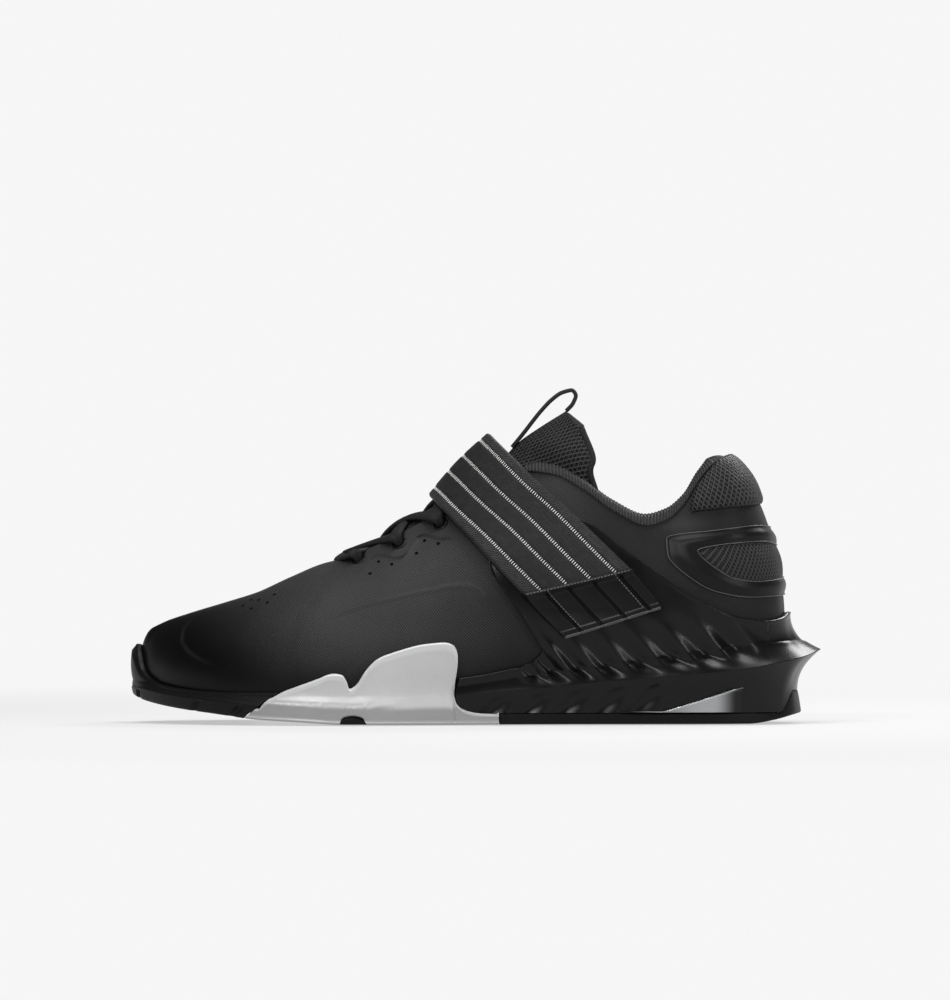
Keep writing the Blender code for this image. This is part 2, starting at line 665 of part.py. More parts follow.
def midsole_path(side, s):
    """Outer and inner path across one side, from the top edge to the middle of the sole."""
    bed = float(SECTIONS.read("base_z", s)) - SEAT
    low = float(outsole_top(s)) + SEAT
    if s > JOIN - 0.003:
        wide = SEAT + 0.6 if s < JOIN else -0.8
        outer = [(side * s, z, wide + 0.8) for z in np.linspace(bed, low, 8)]
        inner = [(side * s, bed, wide)] * 8
        return outer, inner
    climbs = (1.0, 0.76, 0.52, 0.32, 0.15, 0.0, -0.45, -1.0)
    outer = [midsole_side(side, s, climb) for climb in climbs]
    edge_s, edge_z = cage_edge(side, s)
    inner = []
    for down in (0.0, 0.25, 0.5, 0.75, 1.0):
        lift = SEAT + 0.6 + 0.5 * math.sin(math.pi * down)
        inner.append((side * (edge_s + (s - edge_s) * down), edge_z + (bed - edge_z) * down, lift))
    inner += [inner[-1]] * 3
    return outer, inner


def place_path(path):
    u, z, lift = np.array(path, dtype=float).T
    return skin(u, z, lift)


def sole_shell(name, stations, path_for, finish, crease=38.0):
    """Solid lofted along the foot from the outer and inner path that path_for gives for a side."""
    outer, inner = [], []
    for s in stations:
        sides = {side: [place_path(path) for path in path_for(side, s)] for side in (-1, 1)}
        outer.append(both_sides(lambda side: sides[side][0]))
        inner.append(both_sides(lambda side: sides[side][1]))
    first, last = stations[0] not in (0.0, 1.0), stations[-1] not in (0.0, 1.0)
    return shell(name, np.array(outer), np.array(inner), finish, crease, first, last)


def build_midsole(finish):
    fluted = np.linspace(FLUTE_START, FLUTE_END, 4 * FLUTE_COUNT + 1)
    middle = np.array([0.42, 0.44, 0.465, JOIN - 0.008, JOIN - 0.002, JOIN + 0.002])
    fore = np.array([0.56, 0.62, 0.68, 0.735, 0.79, 0.85, 0.90, 0.94, 0.97, 0.99, 1.0])
    stations = np.concatenate([HEEL_STATIONS, fluted, middle, fore])
    return sole_shell("midsole", stations, midsole_path, finish, crease=32.0)


def heel_rubber_path(side, s):
    top = float(outsole_top(s))
    out = float(GROUND.read("out", s))
    foot = float(MIDSOLE.read("foot_out", s))
    ground = float(GROUND.read("z", s))
    outer = [
        (side * s, top, foot),
        (side * s, 0.5 * (top + ground) + 0.6, out - 0.1),
        (side * s, ground + 0.8, out),
        (side * s, ground, out - 1.2),
    ]
    inner = [(side * s, top, foot)] * 4
    return outer, inner


def grooved(stations, grooves, width):
    """Add four stations to a list for each groove across the rubber."""
    extra = []
    for middle in grooves:
        extra += [middle - width, middle - 0.6 * width, middle + 0.6 * width, middle + width]
    return np.array(sorted(set(np.concatenate([stations, extra]))))


def groove_depth(s, grooves, width):
    return max((LUG if abs(s - middle) < 0.8 * width else 0.0) for middle in grooves)


def build_heel_rubber(finish):
    plain = np.append(HEEL_STATIONS, [0.09, 0.12, 0.20, 0.28, 0.36, HEEL_END])
    width = 0.006

    def path(side, s):
        outer, inner = heel_rubber_path(side, s)
        depth = groove_depth(s, HEEL_GROOVES, width)
        outer[2] = (outer[2][0], outer[2][1] + depth, outer[2][2])
        outer[3] = (outer[3][0], outer[3][1] + depth, outer[3][2])
        return outer, inner

    return sole_shell("outsole_heel", grooved(plain, HEEL_GROOVES, width), path, finish)


def wing_profile(z, ground):
    """How far the silver wall stands off the upper at height z: foot, crease, then thin lobe."""
    foot = 4.3
    crease = ground + 7.4
    lobe = SEAT + WING
    if z <= crease:
        return foot + 0.5 * (z - ground) / (crease - ground)
    return lobe + (foot + 0.5 - lobe) * (1.0 - blend(crease, crease + 5.5, z))


def wing_path(side, foot_x):
    """Outer and inner path of the silver rubber at one place along its foot."""
    edge_x = float(WINGS.read("edge_x", foot_x))
    column = "edge_z" if side < 0 else "inner_edge_z"
    edge_z = float(WINGS.read(column, foot_x))
    foot_s = station(side, foot_x, 14.0)
    edge_s = station(side, edge_x, max(edge_z, 14.0))
    ground = float(GROUND.read("z", foot_s))
    top = ground + OUTSOLE
    notch = 3.6 if -57.6 < foot_x < -47.0 else 0.0
    depth = max(LUG if abs(foot_x - middle) < 1.8 else 0.0 for middle in FORE_GROOVES_X)
    edge_z = max(edge_z, top)
    front = foot_x < FORE_GROOVES_X[0] - 2.5

    def slanted(z, down):
        share = 1.0 - (z - ground) / (edge_z - ground) if front else down
        return edge_s + (foot_s - edge_s) * share

    if front:
        top = float(GROUND.read("z", slanted(top, 1.0))) + OUTSOLE
        edge_z = max(top, edge_z - OUTSOLE * 0.15 * (foot_x < -97.0))
    outer = []
    for down in (0.0, 0.35, 0.7, 1.0):
        z = edge_z + (min(ground + 2.2, top) - edge_z) * down
        z = max(z, ground + notch + 0.3)
        outer.append((side * slanted(z, down), z, wing_profile(z, ground)))
    outer.append((side * foot_s, ground + 0.3 + max(notch, depth) * 0.9, 4.2))
    outer.append((side * foot_s, ground + max(notch, depth), 3.2))
    outer.append((side * foot_s, ground + depth, -6.0))
    inner = []
    for down in (0.0, 0.5, 1.0):
        z = edge_z + (top - edge_z) * down
        inner.append((side * slanted(z, down), z, 0.4))
    inner += [inner[-1]] * 4
    return outer, inner


def build_forefoot_rubber(finish):
    plain = list(WINGS.column("foot_x"))
    notch = [-58.2, -57.4, -47.2, -46.4]
    grooves = []
    for middle in FORE_GROOVES_X:
        grooves += [middle - 2.4, middle - 1.6, middle + 1.6, middle + 2.4]
    more = [-37.5]
    places = np.array(sorted(set(plain + notch + grooves + more)))
    return sole_shell("outsole_forefoot", places, wing_path, finish, crease=32.0)


def toe_path(side, s):
    rim_s = float(BUMPER_RIM.read("rim_s", s))
    rim_z = float(BUMPER_RIM.read("rim_z", s))
    ground = float(GROUND.read("z", s))
    top = ground + OUTSOLE
    depth = groove_depth(s, TOE_GROOVES, 0.007)
    shelf = min(ground + 5.6, 13.0 + 0.2 * ground)
    lip = SEAT + BUMPER
    rest = SEAT + 0.2
    face = float(lip + 1.4 * blend(0.92, 1.0, s))

    def place(z):
        return side * (s + (rim_s - s) * (z - ground) / (rim_z - ground))

    outer = []
    for z, lift in (
            (rim_z, lip), (rim_z - 0.22 * (rim_z - shelf), face),
            (rim_z - 0.55 * (rim_z - shelf), face + 0.4), (shelf, 5.0),
            (ground + 1.0 + depth, 4.6), (ground + depth, 3.4)):
        outer.append((place(z), z, lift))
    top = float(GROUND.read("z", abs(place(top)))) + OUTSOLE
    inner = [(place(z), z, rest) for z in (rim_z, 0.5 * (rim_z + top))]
    inner += [(place(top), top, rest)] * 4
    return outer, inner


def build_toe_rubber(finish):
    plain = np.array([0.7775, 0.80, 0.85, 0.90, 0.945, 0.96, 0.97, 0.98, 0.99, 1.0])
    places = grooved(plain, TOE_GROOVES, 0.007)
    return sole_shell("outsole_toe", places, toe_path, finish, crease=32.0)


def build_heel_plate(side, name, finish):
    """Glossy insert low on the side of the heel, laid on the midsole's hollow."""
    stations = np.linspace(0.108, 0.238, 9)
    outer, inner = [], []
    for s in stations:
        low = float(outsole_top(s)) + SEAT
        ridge = float(MIDSOLE.read("ridge_z", s))
        top = float(HEEL_PLATE.read("top_z", s))
        row_out, row_in = [], []
        for share in np.linspace(0.0, 1.0, 4):
            z = low + 0.4 + (top - low - 0.4) * share
            climb = (z - ridge) / (ridge - low)
            u, z, out = midsole_side(side, s, climb)
            row_in.append((u, z, out + SEAT + 0.35))
            row_out.append((u, z, out + SEAT + 1.55))
        outer.append(place_path(row_out))
        inner.append(place_path(row_in))
    return shell(name, np.array(outer), np.array(inner), finish)


# Inside and upper trim

def build_insole(finish):
    stations = np.concatenate([
        np.array([0.0, 0.015, 0.035, 0.06, 0.09, 0.13]),
        np.linspace(0.18, 0.88, 13),
        np.array([0.92, 0.95, 0.975, 1.0]),
    ])
    outer, inner = [], []
    for s in stations:
        low, high = [], []
        bed = float(SECTIONS.read("base_z", s))
        inset = -(UPPER_WALL + 0.5)
        dish = 0.8 * float(blend(0.0, 0.1, s) * (1.0 - blend(0.9, 1.0, s)))
        for side, reach in ((-1, 1.0), (-1, 0.5), (1, 0.5), (1, 1.0)):
            edge = place_path([(side * s, bed, inset)])[0]
            top = place_path([(side * s, bed + INSOLE, inset - 0.4)])[0]
            centre = float(outline(s)[1] + outline(-s)[1]) / 2.0
            middle = np.array([edge[0], centre, bed])
            low.append(middle + (edge - middle) * reach)
            middle_top = np.array([top[0], centre, top[2] - dish])
            raised = middle_top + (top - middle_top) * reach
            high.append(raised)
        outer.append(low)
        inner.append(high)
    return shell("insole", np.array(outer), np.array(inner), finish, first=False, last=False)


def build_binding(finish):
    """Knit roll along the collar, from one end of the throat round the heel to the other."""
    plain = upper_stations()
    stations = np.append(plain[plain < CORNER - 0.01], CORNER - 0.002)
    ring = np.concatenate([-stations[::-1], stations[1:]])
    ends = wall(ring, 1.0)
    below = wall(ring, 0.97)
    out = wall_normal(ring, 0.985)
    up = ends - below
    up -= out * np.sum(up * out, axis=-1, keepdims=True)
    up /= np.linalg.norm(up, axis=-1, keepdims=True)
    thickness = upper_thickness(np.abs(ring), 1.0)[:, None]
    path = ends - out * thickness / 2.0
    half = BINDING_WIDTH / 2.0
    high = BINDING_HEIGHT
    profile = [
        (-half * 0.85, SEAT),
        (half * 0.85, SEAT),
        (half, high * 0.38),
        (half * 0.78, high * 0.8),
        (half * 0.26, high),
        (-half * 0.26, high),
        (-half * 0.78, high * 0.8),
        (-half, high * 0.38),
    ]
    return tube("collar_binding", path, out, up, profile, finish)


def build_heel_tab(finish):
    """Padded panel of coarse mesh behind the heel."""
    plain = upper_stations()
    stations = plain[plain < 0.14]
    ring = np.concatenate([-stations[::-1], stations[1:]])
    outer, inner = [], []
    for u in ring:
        s = abs(u)
        low_z = float(HEEL_TAB.read("low_z", s))
        high = float(HEEL_TAB.read("share", s))
        low = float(share_at(u, low_z))
        climb = np.linspace(0.0, 1.0, 5)
        shares = low + (high - low) * climb
        pad = 1.3 + 1.1 * np.sin(math.pi * (0.12 + 0.83 * climb))
        pad = pad * (1.0 - 0.45 * blend(0.10, 0.13, s))
        normal = wall_normal(u, shares)
        outer.append(wall(u, shares) + normal * (SEAT + pad)[:, None])
        inner.append(wall(u, shares) + normal * (SEAT + 0.15))
    return shell("heel_tab", np.array(outer), np.array(inner), finish)


def build_heel_frame(finish):
    """Moulded ring round the mesh window, from ankle to ankle behind the heel."""
    rows = np.concatenate([np.linspace(0.0, 0.34, 8), [0.40, 0.45, 0.50], np.linspace(0.58, 1.0, 9)])
    rest = SEAT + 0.8
    loops = []
    for prefix, lift in (("outer", rest), ("outer", 1.9), ("window", 2.4), ("window", rest)):
        keys = HEEL_FRAME.column("t")
        marks = list(zip(HEEL_FRAME.column(prefix + "_x"), HEEL_FRAME.column(prefix + "_z")))
        loop = []
        for side in (-1, 1):
            along = [0.0] + [station(side, x, z) for x, z in marks[1:-1]] + [0.0]
            order = rows if side < 0 else rows[-2:0:-1]
            for s, z in zip(Curve(keys, np.array(along))(order), HEEL_FRAME.read(prefix + "_z", order)):
                loop.append((side * s, z, lift))
        loops.append(place_path(loop))
    grid = np.array(loops)
    rows_count, columns = grid.shape[:2]
    faces = grid_faces(rows_count, columns, wrap_rows=True, wrap_columns=True)
    return make_object("heel_frame", grid.reshape(-1, 3), faces, finish)


def tongue_point(t, a, depth):
    """Point of the tongue: a runs -1 to 1 across it, depth 0 is its outer face."""
    x = TONGUE.read("x", t)
    z = TONGUE.read("z", t)
    step = 0.01
    run = np.array([
        TONGUE.read("x", t + step) - TONGUE.read("x", t - step),
        TONGUE.read("z", t + step) - TONGUE.read("z", t - step),
    ])
    run /= np.linalg.norm(run)
    inward = np.array([run[1], 0.0, -run[0]])
    half = TONGUE.read("half", t)
    behind, below = TONGUE.read("behind", t), TONGUE.read("below", t)
    centre = np.array([x, 0.6 * (1.0 - t), z])
    across = np.array([0.0, half * math.sin(0.5 * math.pi * a), 0.0])
    thick = TONGUE.read("thick", t) * (1.0 - 0.45 * abs(a) ** 3)
    back = np.array([behind, 0.0, -below]) * (1.0 - math.cos(0.5 * math.pi * a))
    tilt = inward * math.cos(0.45 * math.pi * a) - np.array([0.0, math.sin(0.45 * math.pi * a), 0.0])
    return centre + across + back + tilt * thick * depth


def build_tongue(finish):
    rows = np.concatenate([np.linspace(0.0, 0.7, 8), np.linspace(0.76, 1.0, 5)])
    columns = np.linspace(-1.0, 1.0, 9)
    outer = [[tongue_point(t, a, 0.0) for a in columns] for t in rows]
    inner = [[tongue_point(t, a, 1.0) for a in columns] for t in rows]
    return shell("tongue", np.array(outer), np.array(inner), finish)


def build_pull_loop(finish):
    """Flat tape looped over the top of the tongue."""
    route = Table(
        "t x z",
        [
            (0.0, 16.25, 118.9),
            (0.12, 20.6, 124.2),
            (0.34, 28.8, 134.6),
            (0.52, 33.6, 139.6),
            (0.66, 38.0, 142.6),
            (0.78, 42.0, 143.6),
            (0.88, 43.9, 141.2),
            (0.95, 42.6, 137.8),
            (1.0, 39.7, 134.6),
        ],
    )
    t = np.linspace(0.0, 1.0, 17)
    path = np.stack([route.read("x", t), np.zeros_like(t), route.read("z", t)], axis=-1)
    run = np.gradient(path, axis=0)
    run /= np.linalg.norm(run, axis=-1, keepdims=True)
    across = np.tile(np.array([0.0, 1.0, 0.0]), (len(t), 1))
    up = np.cross(run, across)
    half, edge = 0.8, 3.0
    profile = [(-edge, 0.0), (-0.8 * edge, -half), (0.8 * edge, -half),
               (edge, 0.0), (0.8 * edge, half), (-0.8 * edge, half)]
    return tube("tongue_pull_loop", path, across, up, profile, finish)


def side_point(side, x, z, lift):
    s = station(side, x, z)
    return skin(side * s, z, lift)


def strap_edges():
    """Both edges of the strap's under face as smooth curves through the rows."""
    knots = {"front": [], "rear": []}
    for row in STRAP_EDGES.rows:
        named = dict(zip(STRAP_EDGES.columns, row))
        for edge, places in knots.items():
            if named[edge + "_lift"] > 0:
                place = side_point(named["side"], named[edge + "_x"], named[edge + "_z"],
                                   named[edge + "_lift"])
            else:
                place = np.array([named[edge + "_x"], named[edge + "_y"], named[edge + "_z"]])
            places.append(place)
    keys = STRAP_EDGES.rows[:, 0]
    t = np.linspace(0.0, 1.0, 25)
    edges = []
    for edge in ("front", "rear"):
        places = np.array(knots[edge])
        edges.append(np.stack([Curve(keys, places[:, axis])(t) for axis in range(3)], axis=-1))
    return edges


def build_strap(finish):
    front, rear = strap_edges()
    shares = np.linspace(0.0, 1.0, 4)
    under = np.array([[a + (b - a) * share for share in shares] for a, b in zip(front, rear)])
    normal = grid_normals(under)
    if normal[len(normal) // 2, 1, 2] < 0:
        normal = -normal
    crown = 1.2 * np.sin(math.pi * shares)[None, :, None]
    under = under + normal * crown
    return shell("strap", under + normal * STRAP_THICKNESS, under, finish)


def build_strap_tip(finish):
    """Moulded tab at the strap's free end."""
    outer, inner = [], []
    for t in np.linspace(0.01, 1.0, 5):
        a = [float(STRAP_TIP.read(name, t)) for name in ("front_x", "front_z", "rear_x", "rear_z")]
        row_out, row_in = [], []
        for share in np.linspace(0.0, 1.0, 6):
            x = a[0] + (a[2] - a[0]) * share
            z = a[1] + (a[3] - a[1]) * share
            lift = 3.5 + 3.2 * (1.0 - blend(38.0, 50.0, z))
            row_out.append(side_point(-1, x, z, lift + STRAP_THICKNESS + 0.2))
            row_in.append(side_point(-1, x, z, lift))
        outer.append(row_out)
        inner.append(row_in)
    return shell("strap_tip", np.array(outer), np.array(inner), finish)


def lace_run(start, end, height, finish):
    """One flat lace from hole to hole, arched over the tongue; each end is a place and its normal."""
    steps = np.array([0.0, 0.14, 0.36, 0.64, 0.86, 1.0])
    lean = np.array([-0.35, 0.0, 1.0])
    path, up = [], []
    for t in steps:
        place = start[0] + (end[0] - start[0]) * t
        path.append(place + lean * height * math.sin(math.pi * t) ** 0.75)
        up.append(start[1] * (1.0 - t) ** 2 + end[1] * t ** 2 + lean * 3.0 * t * (1.0 - t))
    path, up = np.array(path), np.array(up)
    run = np.gradient(path, axis=0)
    run /= np.linalg.norm(run, axis=-1, keepdims=True)
    up -= run * np.sum(up * run, axis=-1, keepdims=True)
    up /= np.linalg.norm(up, axis=-1, keepdims=True)
    across = np.cross(run, up)
    across *= (0.56 + 0.44 * np.sin(math.pi * steps))[:, None]
    half, high = LACE_WIDTH / 2.0, LACE_THICKNESS / 2.0
    profile = [(-half, 0.0), (-half * 0.6, -high), (half * 0.6, -high),
               (half, 0.0), (half * 0.6, high), (-half * 0.6, high)]
    return tube("lace_run", path, across, up, profile, finish)


def build_laces(finish):
    places = eyelet_places()
    count = len(EYELET_X_OUTER)
    lift = LACE_THICKNESS / 2.0 + 2.8
    raised = [(place + normal * lift, normal) for place, normal in places]
    outer, inner = raised[:count], raised[count:]
    laces = lace_run(outer[0], inner[0], LACE_BAR_ARCH, finish)
    laces.name = "laces"
    for row, (low, high) in enumerate(LACE_ARCHES):
        boolean(laces, lace_run(outer[row], inner[row + 1], low, finish), "UNION")
        boolean(laces, lace_run(inner[row], outer[row + 1], high, finish), "UNION")
    return laces


def main():
    for old in list(bpy.data.objects):
        bpy.data.objects.remove(old)
    finish = finishes()
    build_upper(finish["cloth"])
    build_midsole(finish["moulded"])
    build_heel_rubber(finish["rubber"])
    build_forefoot_rubber(finish["silver"])
    build_toe_rubber(finish["rubber"])
    build_heel_plate(-1, "heel_plate_outer", finish["clear"])
    build_heel_plate(1, "heel_plate_inner", finish["clear"])
    build_insole(finish["lining"])
    build_binding(finish["knit"])
    build_heel_tab(finish["mesh"])
    build_heel_frame(finish["moulded"])
    build_tongue(finish["mesh"])
    build_pull_loop(finish["webbing"])
    build_strap(finish["webbing"])
    build_strap_tip(finish["moulded"])
    build_laces(finish["lace"])


main()
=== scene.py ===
import math

import bmesh
import bpy
import numpy as np
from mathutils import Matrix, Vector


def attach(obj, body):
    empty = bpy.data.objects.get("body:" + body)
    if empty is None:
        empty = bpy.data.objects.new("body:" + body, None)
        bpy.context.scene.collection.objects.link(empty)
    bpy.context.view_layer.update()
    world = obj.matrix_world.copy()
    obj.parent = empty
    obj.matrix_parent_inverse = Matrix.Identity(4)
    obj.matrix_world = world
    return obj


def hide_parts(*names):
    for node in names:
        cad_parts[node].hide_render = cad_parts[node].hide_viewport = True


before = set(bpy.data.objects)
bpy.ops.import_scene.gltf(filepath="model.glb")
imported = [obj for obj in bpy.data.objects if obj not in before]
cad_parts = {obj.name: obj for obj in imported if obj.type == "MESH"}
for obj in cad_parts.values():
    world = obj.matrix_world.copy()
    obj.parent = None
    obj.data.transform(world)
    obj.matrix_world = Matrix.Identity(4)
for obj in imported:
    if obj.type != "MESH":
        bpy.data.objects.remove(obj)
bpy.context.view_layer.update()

# A left weightlifting shoe, dressed for its picture. Lengths in the tables are millimetres.
# Toe towards -X, outer side towards -Y, up +Z, the same frame as the solids.

MM = 0.001
SEAT = 0.3                 # gap between pieces that touch
UPPER_WALL = 1.9           # cloth and film of the upper
COLLAR_WALL = 5.0          # the same wall where it is padded, round the collar
OUTSOLE = 4.6              # rubber under the foot
INSOLE = 3.0
WING = 2.4                 # silver wall that climbs from the forefoot rubber
BUMPER = 2.4               # rubber over the toe
FLUTE_DEPTH = 1.7          # slanted flutes in the side of the midsole
FLUTE_COUNT = 8
EYELET_RADIUS = 2.3
LACE_WIDTH = 5.6
LACE_THICKNESS = 2.6
STRAP_THICKNESS = 2.2
BINDING_WIDTH = 6.6
BINDING_HEIGHT = 5.2
CORNER = 0.455             # place along the foot where the collar ends and the throat begins
JOIN = 0.50                # place where the silver forefoot rubber meets the midsole's side
HEEL_END = 0.4435          # place where the heel rubber ends
FORE_GROOVES_X = (-78.0, -30.0)
FLUTE_START = 0.085        # the fluted part of the midsole's side
FLUTE_END = 0.40


class Curve:
    """Cubic curve through keyed values that never swings past them."""

    def __init__(self, keys, values):
        step = np.diff(keys)
        slope = np.diff(values) / step
        tangent = np.concatenate([slope[:1], np.zeros(len(slope) - 1), slope[-1:]])
        for row in range(1, len(slope)):
            before, after = slope[row - 1], slope[row]
            if before * after > 0:
                near = 2.0 * step[row] + step[row - 1]
                far = step[row] + 2.0 * step[row - 1]
                tangent[row] = (near + far) / (near / before + far / after)
        self.keys, self.values, self.step, self.tangent = keys, values, step, tangent

    def __call__(self, at):
        at = np.clip(np.asarray(at, dtype=float), self.keys[0], self.keys[-1])
        cell = np.clip(np.searchsorted(self.keys, at, side="right") - 1, 0, len(self.step) - 1)
        width = self.step[cell]
        t = (at - self.keys[cell]) / width
        low, high = self.values[cell], self.values[cell + 1]
        rise = (1.0 + 2.0 * t) * (1.0 - t) ** 2 * low + t ** 2 * (3.0 - 2.0 * t) * high
        bend = t * (1.0 - t) ** 2 * self.tangent[cell] - t ** 2 * (1.0 - t) * self.tangent[cell + 1]
        return rise + width * bend


class Table:
    """Rows with named columns; the first column is the key that a curve is read along."""

    def __init__(self, columns, rows):
        self.columns = columns.split()
        self.rows = np.array(rows, dtype=float)
        self.curves = {}

    def column(self, name):
        return self.rows[:, self.columns.index(name)]

    def read(self, name, at):
        if name not in self.curves:
            self.curves[name] = Curve(self.rows[:, 0], self.column(name))
        return self.curves[name](at)

    def around(self, outer, inner, at):
        """Read a column as a closed curve: below zero the outer side, above zero the inner."""
        if (outer, inner) not in self.curves:
            keys = self.rows[:, 0]
            loop = np.concatenate([-keys[::-1], keys[1:]])
            values = np.concatenate([self.column(outer)[::-1], self.column(inner)[1:]])
            keys = np.concatenate([loop[:-1] - 2.0, loop, loop[1:] + 2.0])
            values = np.concatenate([values[:-1], values, values[1:]])
            self.curves[(outer, inner)] = Curve(keys, values)
        return self.curves[(outer, inner)](at)


def blend(low, high, value):
    """0 below low, 1 above high, smooth between."""
    t = np.clip((np.asarray(value, dtype=float) - low) / (high - low), 0.0, 1.0)
    return t * t * (3.0 - 2.0 * t)


# Sections of the upper. s runs from the middle of the heel (0) to the tip of the toe (1).
# The base row is the feather line on the sole, the top row is the collar, the throat's edge
# and then the ridge of the vamp. rise and lean bend the wall at its base, crown and tuck at its top.

SECTIONS = Table("s base_x base_out base_in base_z top_x top_out top_in top_z rise lean crown tuck", [
    (0.00, 133.8, 0.0, 0.0, 36.0, 108.0, 0.0, 0.0, 114.0, 24.0, 8.0, 16.8, 17.0),
    (0.03, 132.0, -11.5, 11.5, 35.8, 107.0, -8.0, 8.0, 113.6, 24.0, 8.0, 16.5, 20.0),
    (0.07, 124.5, -22.5, 22.0, 35.2, 103.5, -14.5, 14.5, 112.0, 24.0, 9.0, 17.0, 32.0),
    (0.11, 114.0, -28.8, 28.0, 34.0, 97.5, -19.0, 19.0, 105.5, 23.0, 10.0, 19.0, 50.0),
    (0.15, 101.5, -32.2, 31.2, 32.4, 90.5, -22.2, 22.0, 94.6, 22.0, 11.0, 20.0, 64.0),
    (0.19, 89.0, -33.6, 32.0, 30.8, 83.0, -24.4, 24.0, 88.0, 21.0, 12.0, 20.0, 70.0),
    (0.24, 73.5, -34.4, 31.8, 28.7, 74.0, -26.0, 25.5, 85.5, 20.0, 12.0, 20.0, 72.0),
    (0.30, 55.0, -35.2, 31.0, 26.0, 60.0, -26.8, 26.0, 91.8, 21.0, 12.0, 22.0, 72.0),
    (0.36, 36.5, -36.6, 30.4, 23.0, 46.0, -26.0, 25.2, 101.6, 22.0, 11.0, 25.0, 72.0),
    (0.41, 21.0, -38.6, 30.8, 20.5, 33.5, -24.4, 23.6, 107.6, 24.0, 9.0, 27.0, 70.0),
    (0.455, 6.5, -41.0, 32.0, 18.2, 22.0, -22.4, 21.6, 108.6, 26.0, 7.0, 28.0, 66.0),
    (0.50, -8.5, -43.8, 34.0, 16.0, 10.0, -19.6, 19.0, 103.6, 27.0, 6.0, 28.0, 60.0),
    (0.54, -22.0, -46.4, 36.8, 14.2, -3.0, -17.6, 17.2, 97.4, 27.0, 5.0, 28.0, 54.0),
    (0.58, -35.0, -48.6, 40.0, 12.8, -17.0, -16.0, 16.0, 89.9, 26.0, 5.0, 27.0, 48.0),
    (0.62, -48.0, -50.0, 43.6, 12.0, -31.0, -14.6, 15.0, 82.4, 25.0, 6.0, 26.0, 42.0),
    (0.66, -61.0, -50.2, 46.6, 11.6, -44.0, -12.8, 13.8, 76.0, 24.0, 8.0, 26.0, 34.0),
    (0.70, -74.0, -48.8, 48.2, 11.6, -56.0, -8.6, 11.2, 71.0, 23.0, 9.0, 28.0, 18.0),
    (0.73, -83.5, -46.4, 48.2, 11.8, -64.0, 1.5, 1.5, 69.0, 22.0, 10.0, 30.0, 0.0),
    (0.78, -98.5, -40.8, 46.4, 12.4, -76.5, 3.0, 3.0, 63.6, 20.0, 11.0, 27.0, 0.0),
    (0.83, -112.0, -33.2, 42.8, 13.6, -90.0, 5.0, 5.0, 57.0, 18.0, 12.0, 24.0, 0.0),
    (0.88, -124.5, -23.0, 37.0, 15.2, -104.0, 6.5, 6.5, 52.4, 15.5, 13.0, 20.0, 0.0),
    (0.93, -135.0, -10.5, 28.2, 17.0, -118.0, 7.8, 7.8, 48.2, 13.0, 15.0, 15.0, 0.0),
    (0.97, -141.5, 1.0, 18.6, 18.4, -130.0, 8.8, 8.8, 44.4, 10.5, 17.0, 9.5, 0.0),
    (1.00, -143.6, 9.6, 9.6, 19.0, -137.0, 9.6, 9.6, 41.4, 9.0, 18.0, 6.5, 0.0),
])

# The rubber's walking face, and how far the sole's foot stands out from the feather line

GROUND = Table("s z out", [
    (0.00, 4.2, 7.6),
    (0.03, 3.6, 7.2),
    (0.06, 1.6, 5.4),
    (0.10, 0.0, 4.4),
    (0.22, 0.0, 4.2),
    (0.36, 0.0, 3.8),
    (0.50, 0.0, 3.8),
    (0.64, 0.0, 4.2),
    (0.70, 1.1, 4.4),
    (0.76, 2.2, 4.4),
    (0.82, 4.4, 4.4),
    (0.88, 6.4, 4.6),
    (0.94, 8.8, 4.8),
    (1.00, 12.0, 5.0),
])

# Side of the midsole: the sharp ridge, and the edge of the cage on either side of the foot

MIDSOLE = Table("s foot_out ridge_z ridge_out edge_x edge_z inner_edge_x inner_edge_z edge_out", [
    (0.000, 6.0, 31.6, 16.2, 136.0, 47.6, 136.0, 47.6, 2.4),
    (0.012, 6.0, 31.0, 15.2, 135.5, 47.4, 135.5, 47.4, 2.4),
    (0.035, 5.8, 29.0, 12.6, 131.5, 45.6, 131.5, 45.6, 2.4),
    (0.070, 4.6, 26.4, 10.4, 125.5, 44.2, 125.5, 44.2, 2.4),
    (0.120, 4.0, 23.6, 9.0, 112.0, 46.0, 112.0, 46.0, 2.4),
    (0.160, 3.8, 22.0, 8.2, 98.5, 52.0, 98.5, 50.0, 2.4),
    (0.200, 3.6, 20.7, 7.4, 86.0, 59.6, 86.0, 55.0, 2.4),
    (0.230, 3.6, 19.6, 7.0, 73.5, 68.0, 75.0, 59.0, 2.4),
    (0.250, 3.6, 19.0, 6.8, 63.0, 75.5, 66.0, 61.0, 2.4),
    (0.270, 3.6, 18.5, 6.6, 47.0, 87.0, 55.0, 62.0, 2.4),
    (0.285, 3.6, 18.1, 6.4, 30.0, 92.5, 44.0, 61.0, 2.4),
    (0.298, 3.6, 17.8, 6.2, 13.0, 86.5, 34.0, 58.5, 2.4),
    (0.311, 3.6, 17.5, 6.0, 5.8, 72.4, 27.0, 53.5, 2.4),
    (0.340, 3.6, 16.8, 5.7, 16.4, 53.3, 25.5, 44.0, 2.4),
    (0.369, 3.6, 16.1, 5.4, 29.7, 34.0, 30.0, 33.0, 2.4),
    (0.390, 3.6, 15.7, 5.2, 24.0, 26.4, 24.0, 26.4, 2.4),
    (0.412, 3.6, 15.2, 5.0, 14.0, 23.6, 14.0, 23.6, 2.4),
    (0.459, 3.6, 14.0, 4.7, 2.0, 21.2, 2.0, 21.2, 2.6),
    (0.494, 3.6, 12.9, 4.5, -7.0, 19.9, -7.0, 19.9, 2.7),
])

# Silver forefoot rubber: the edge of its wings above each place along its foot

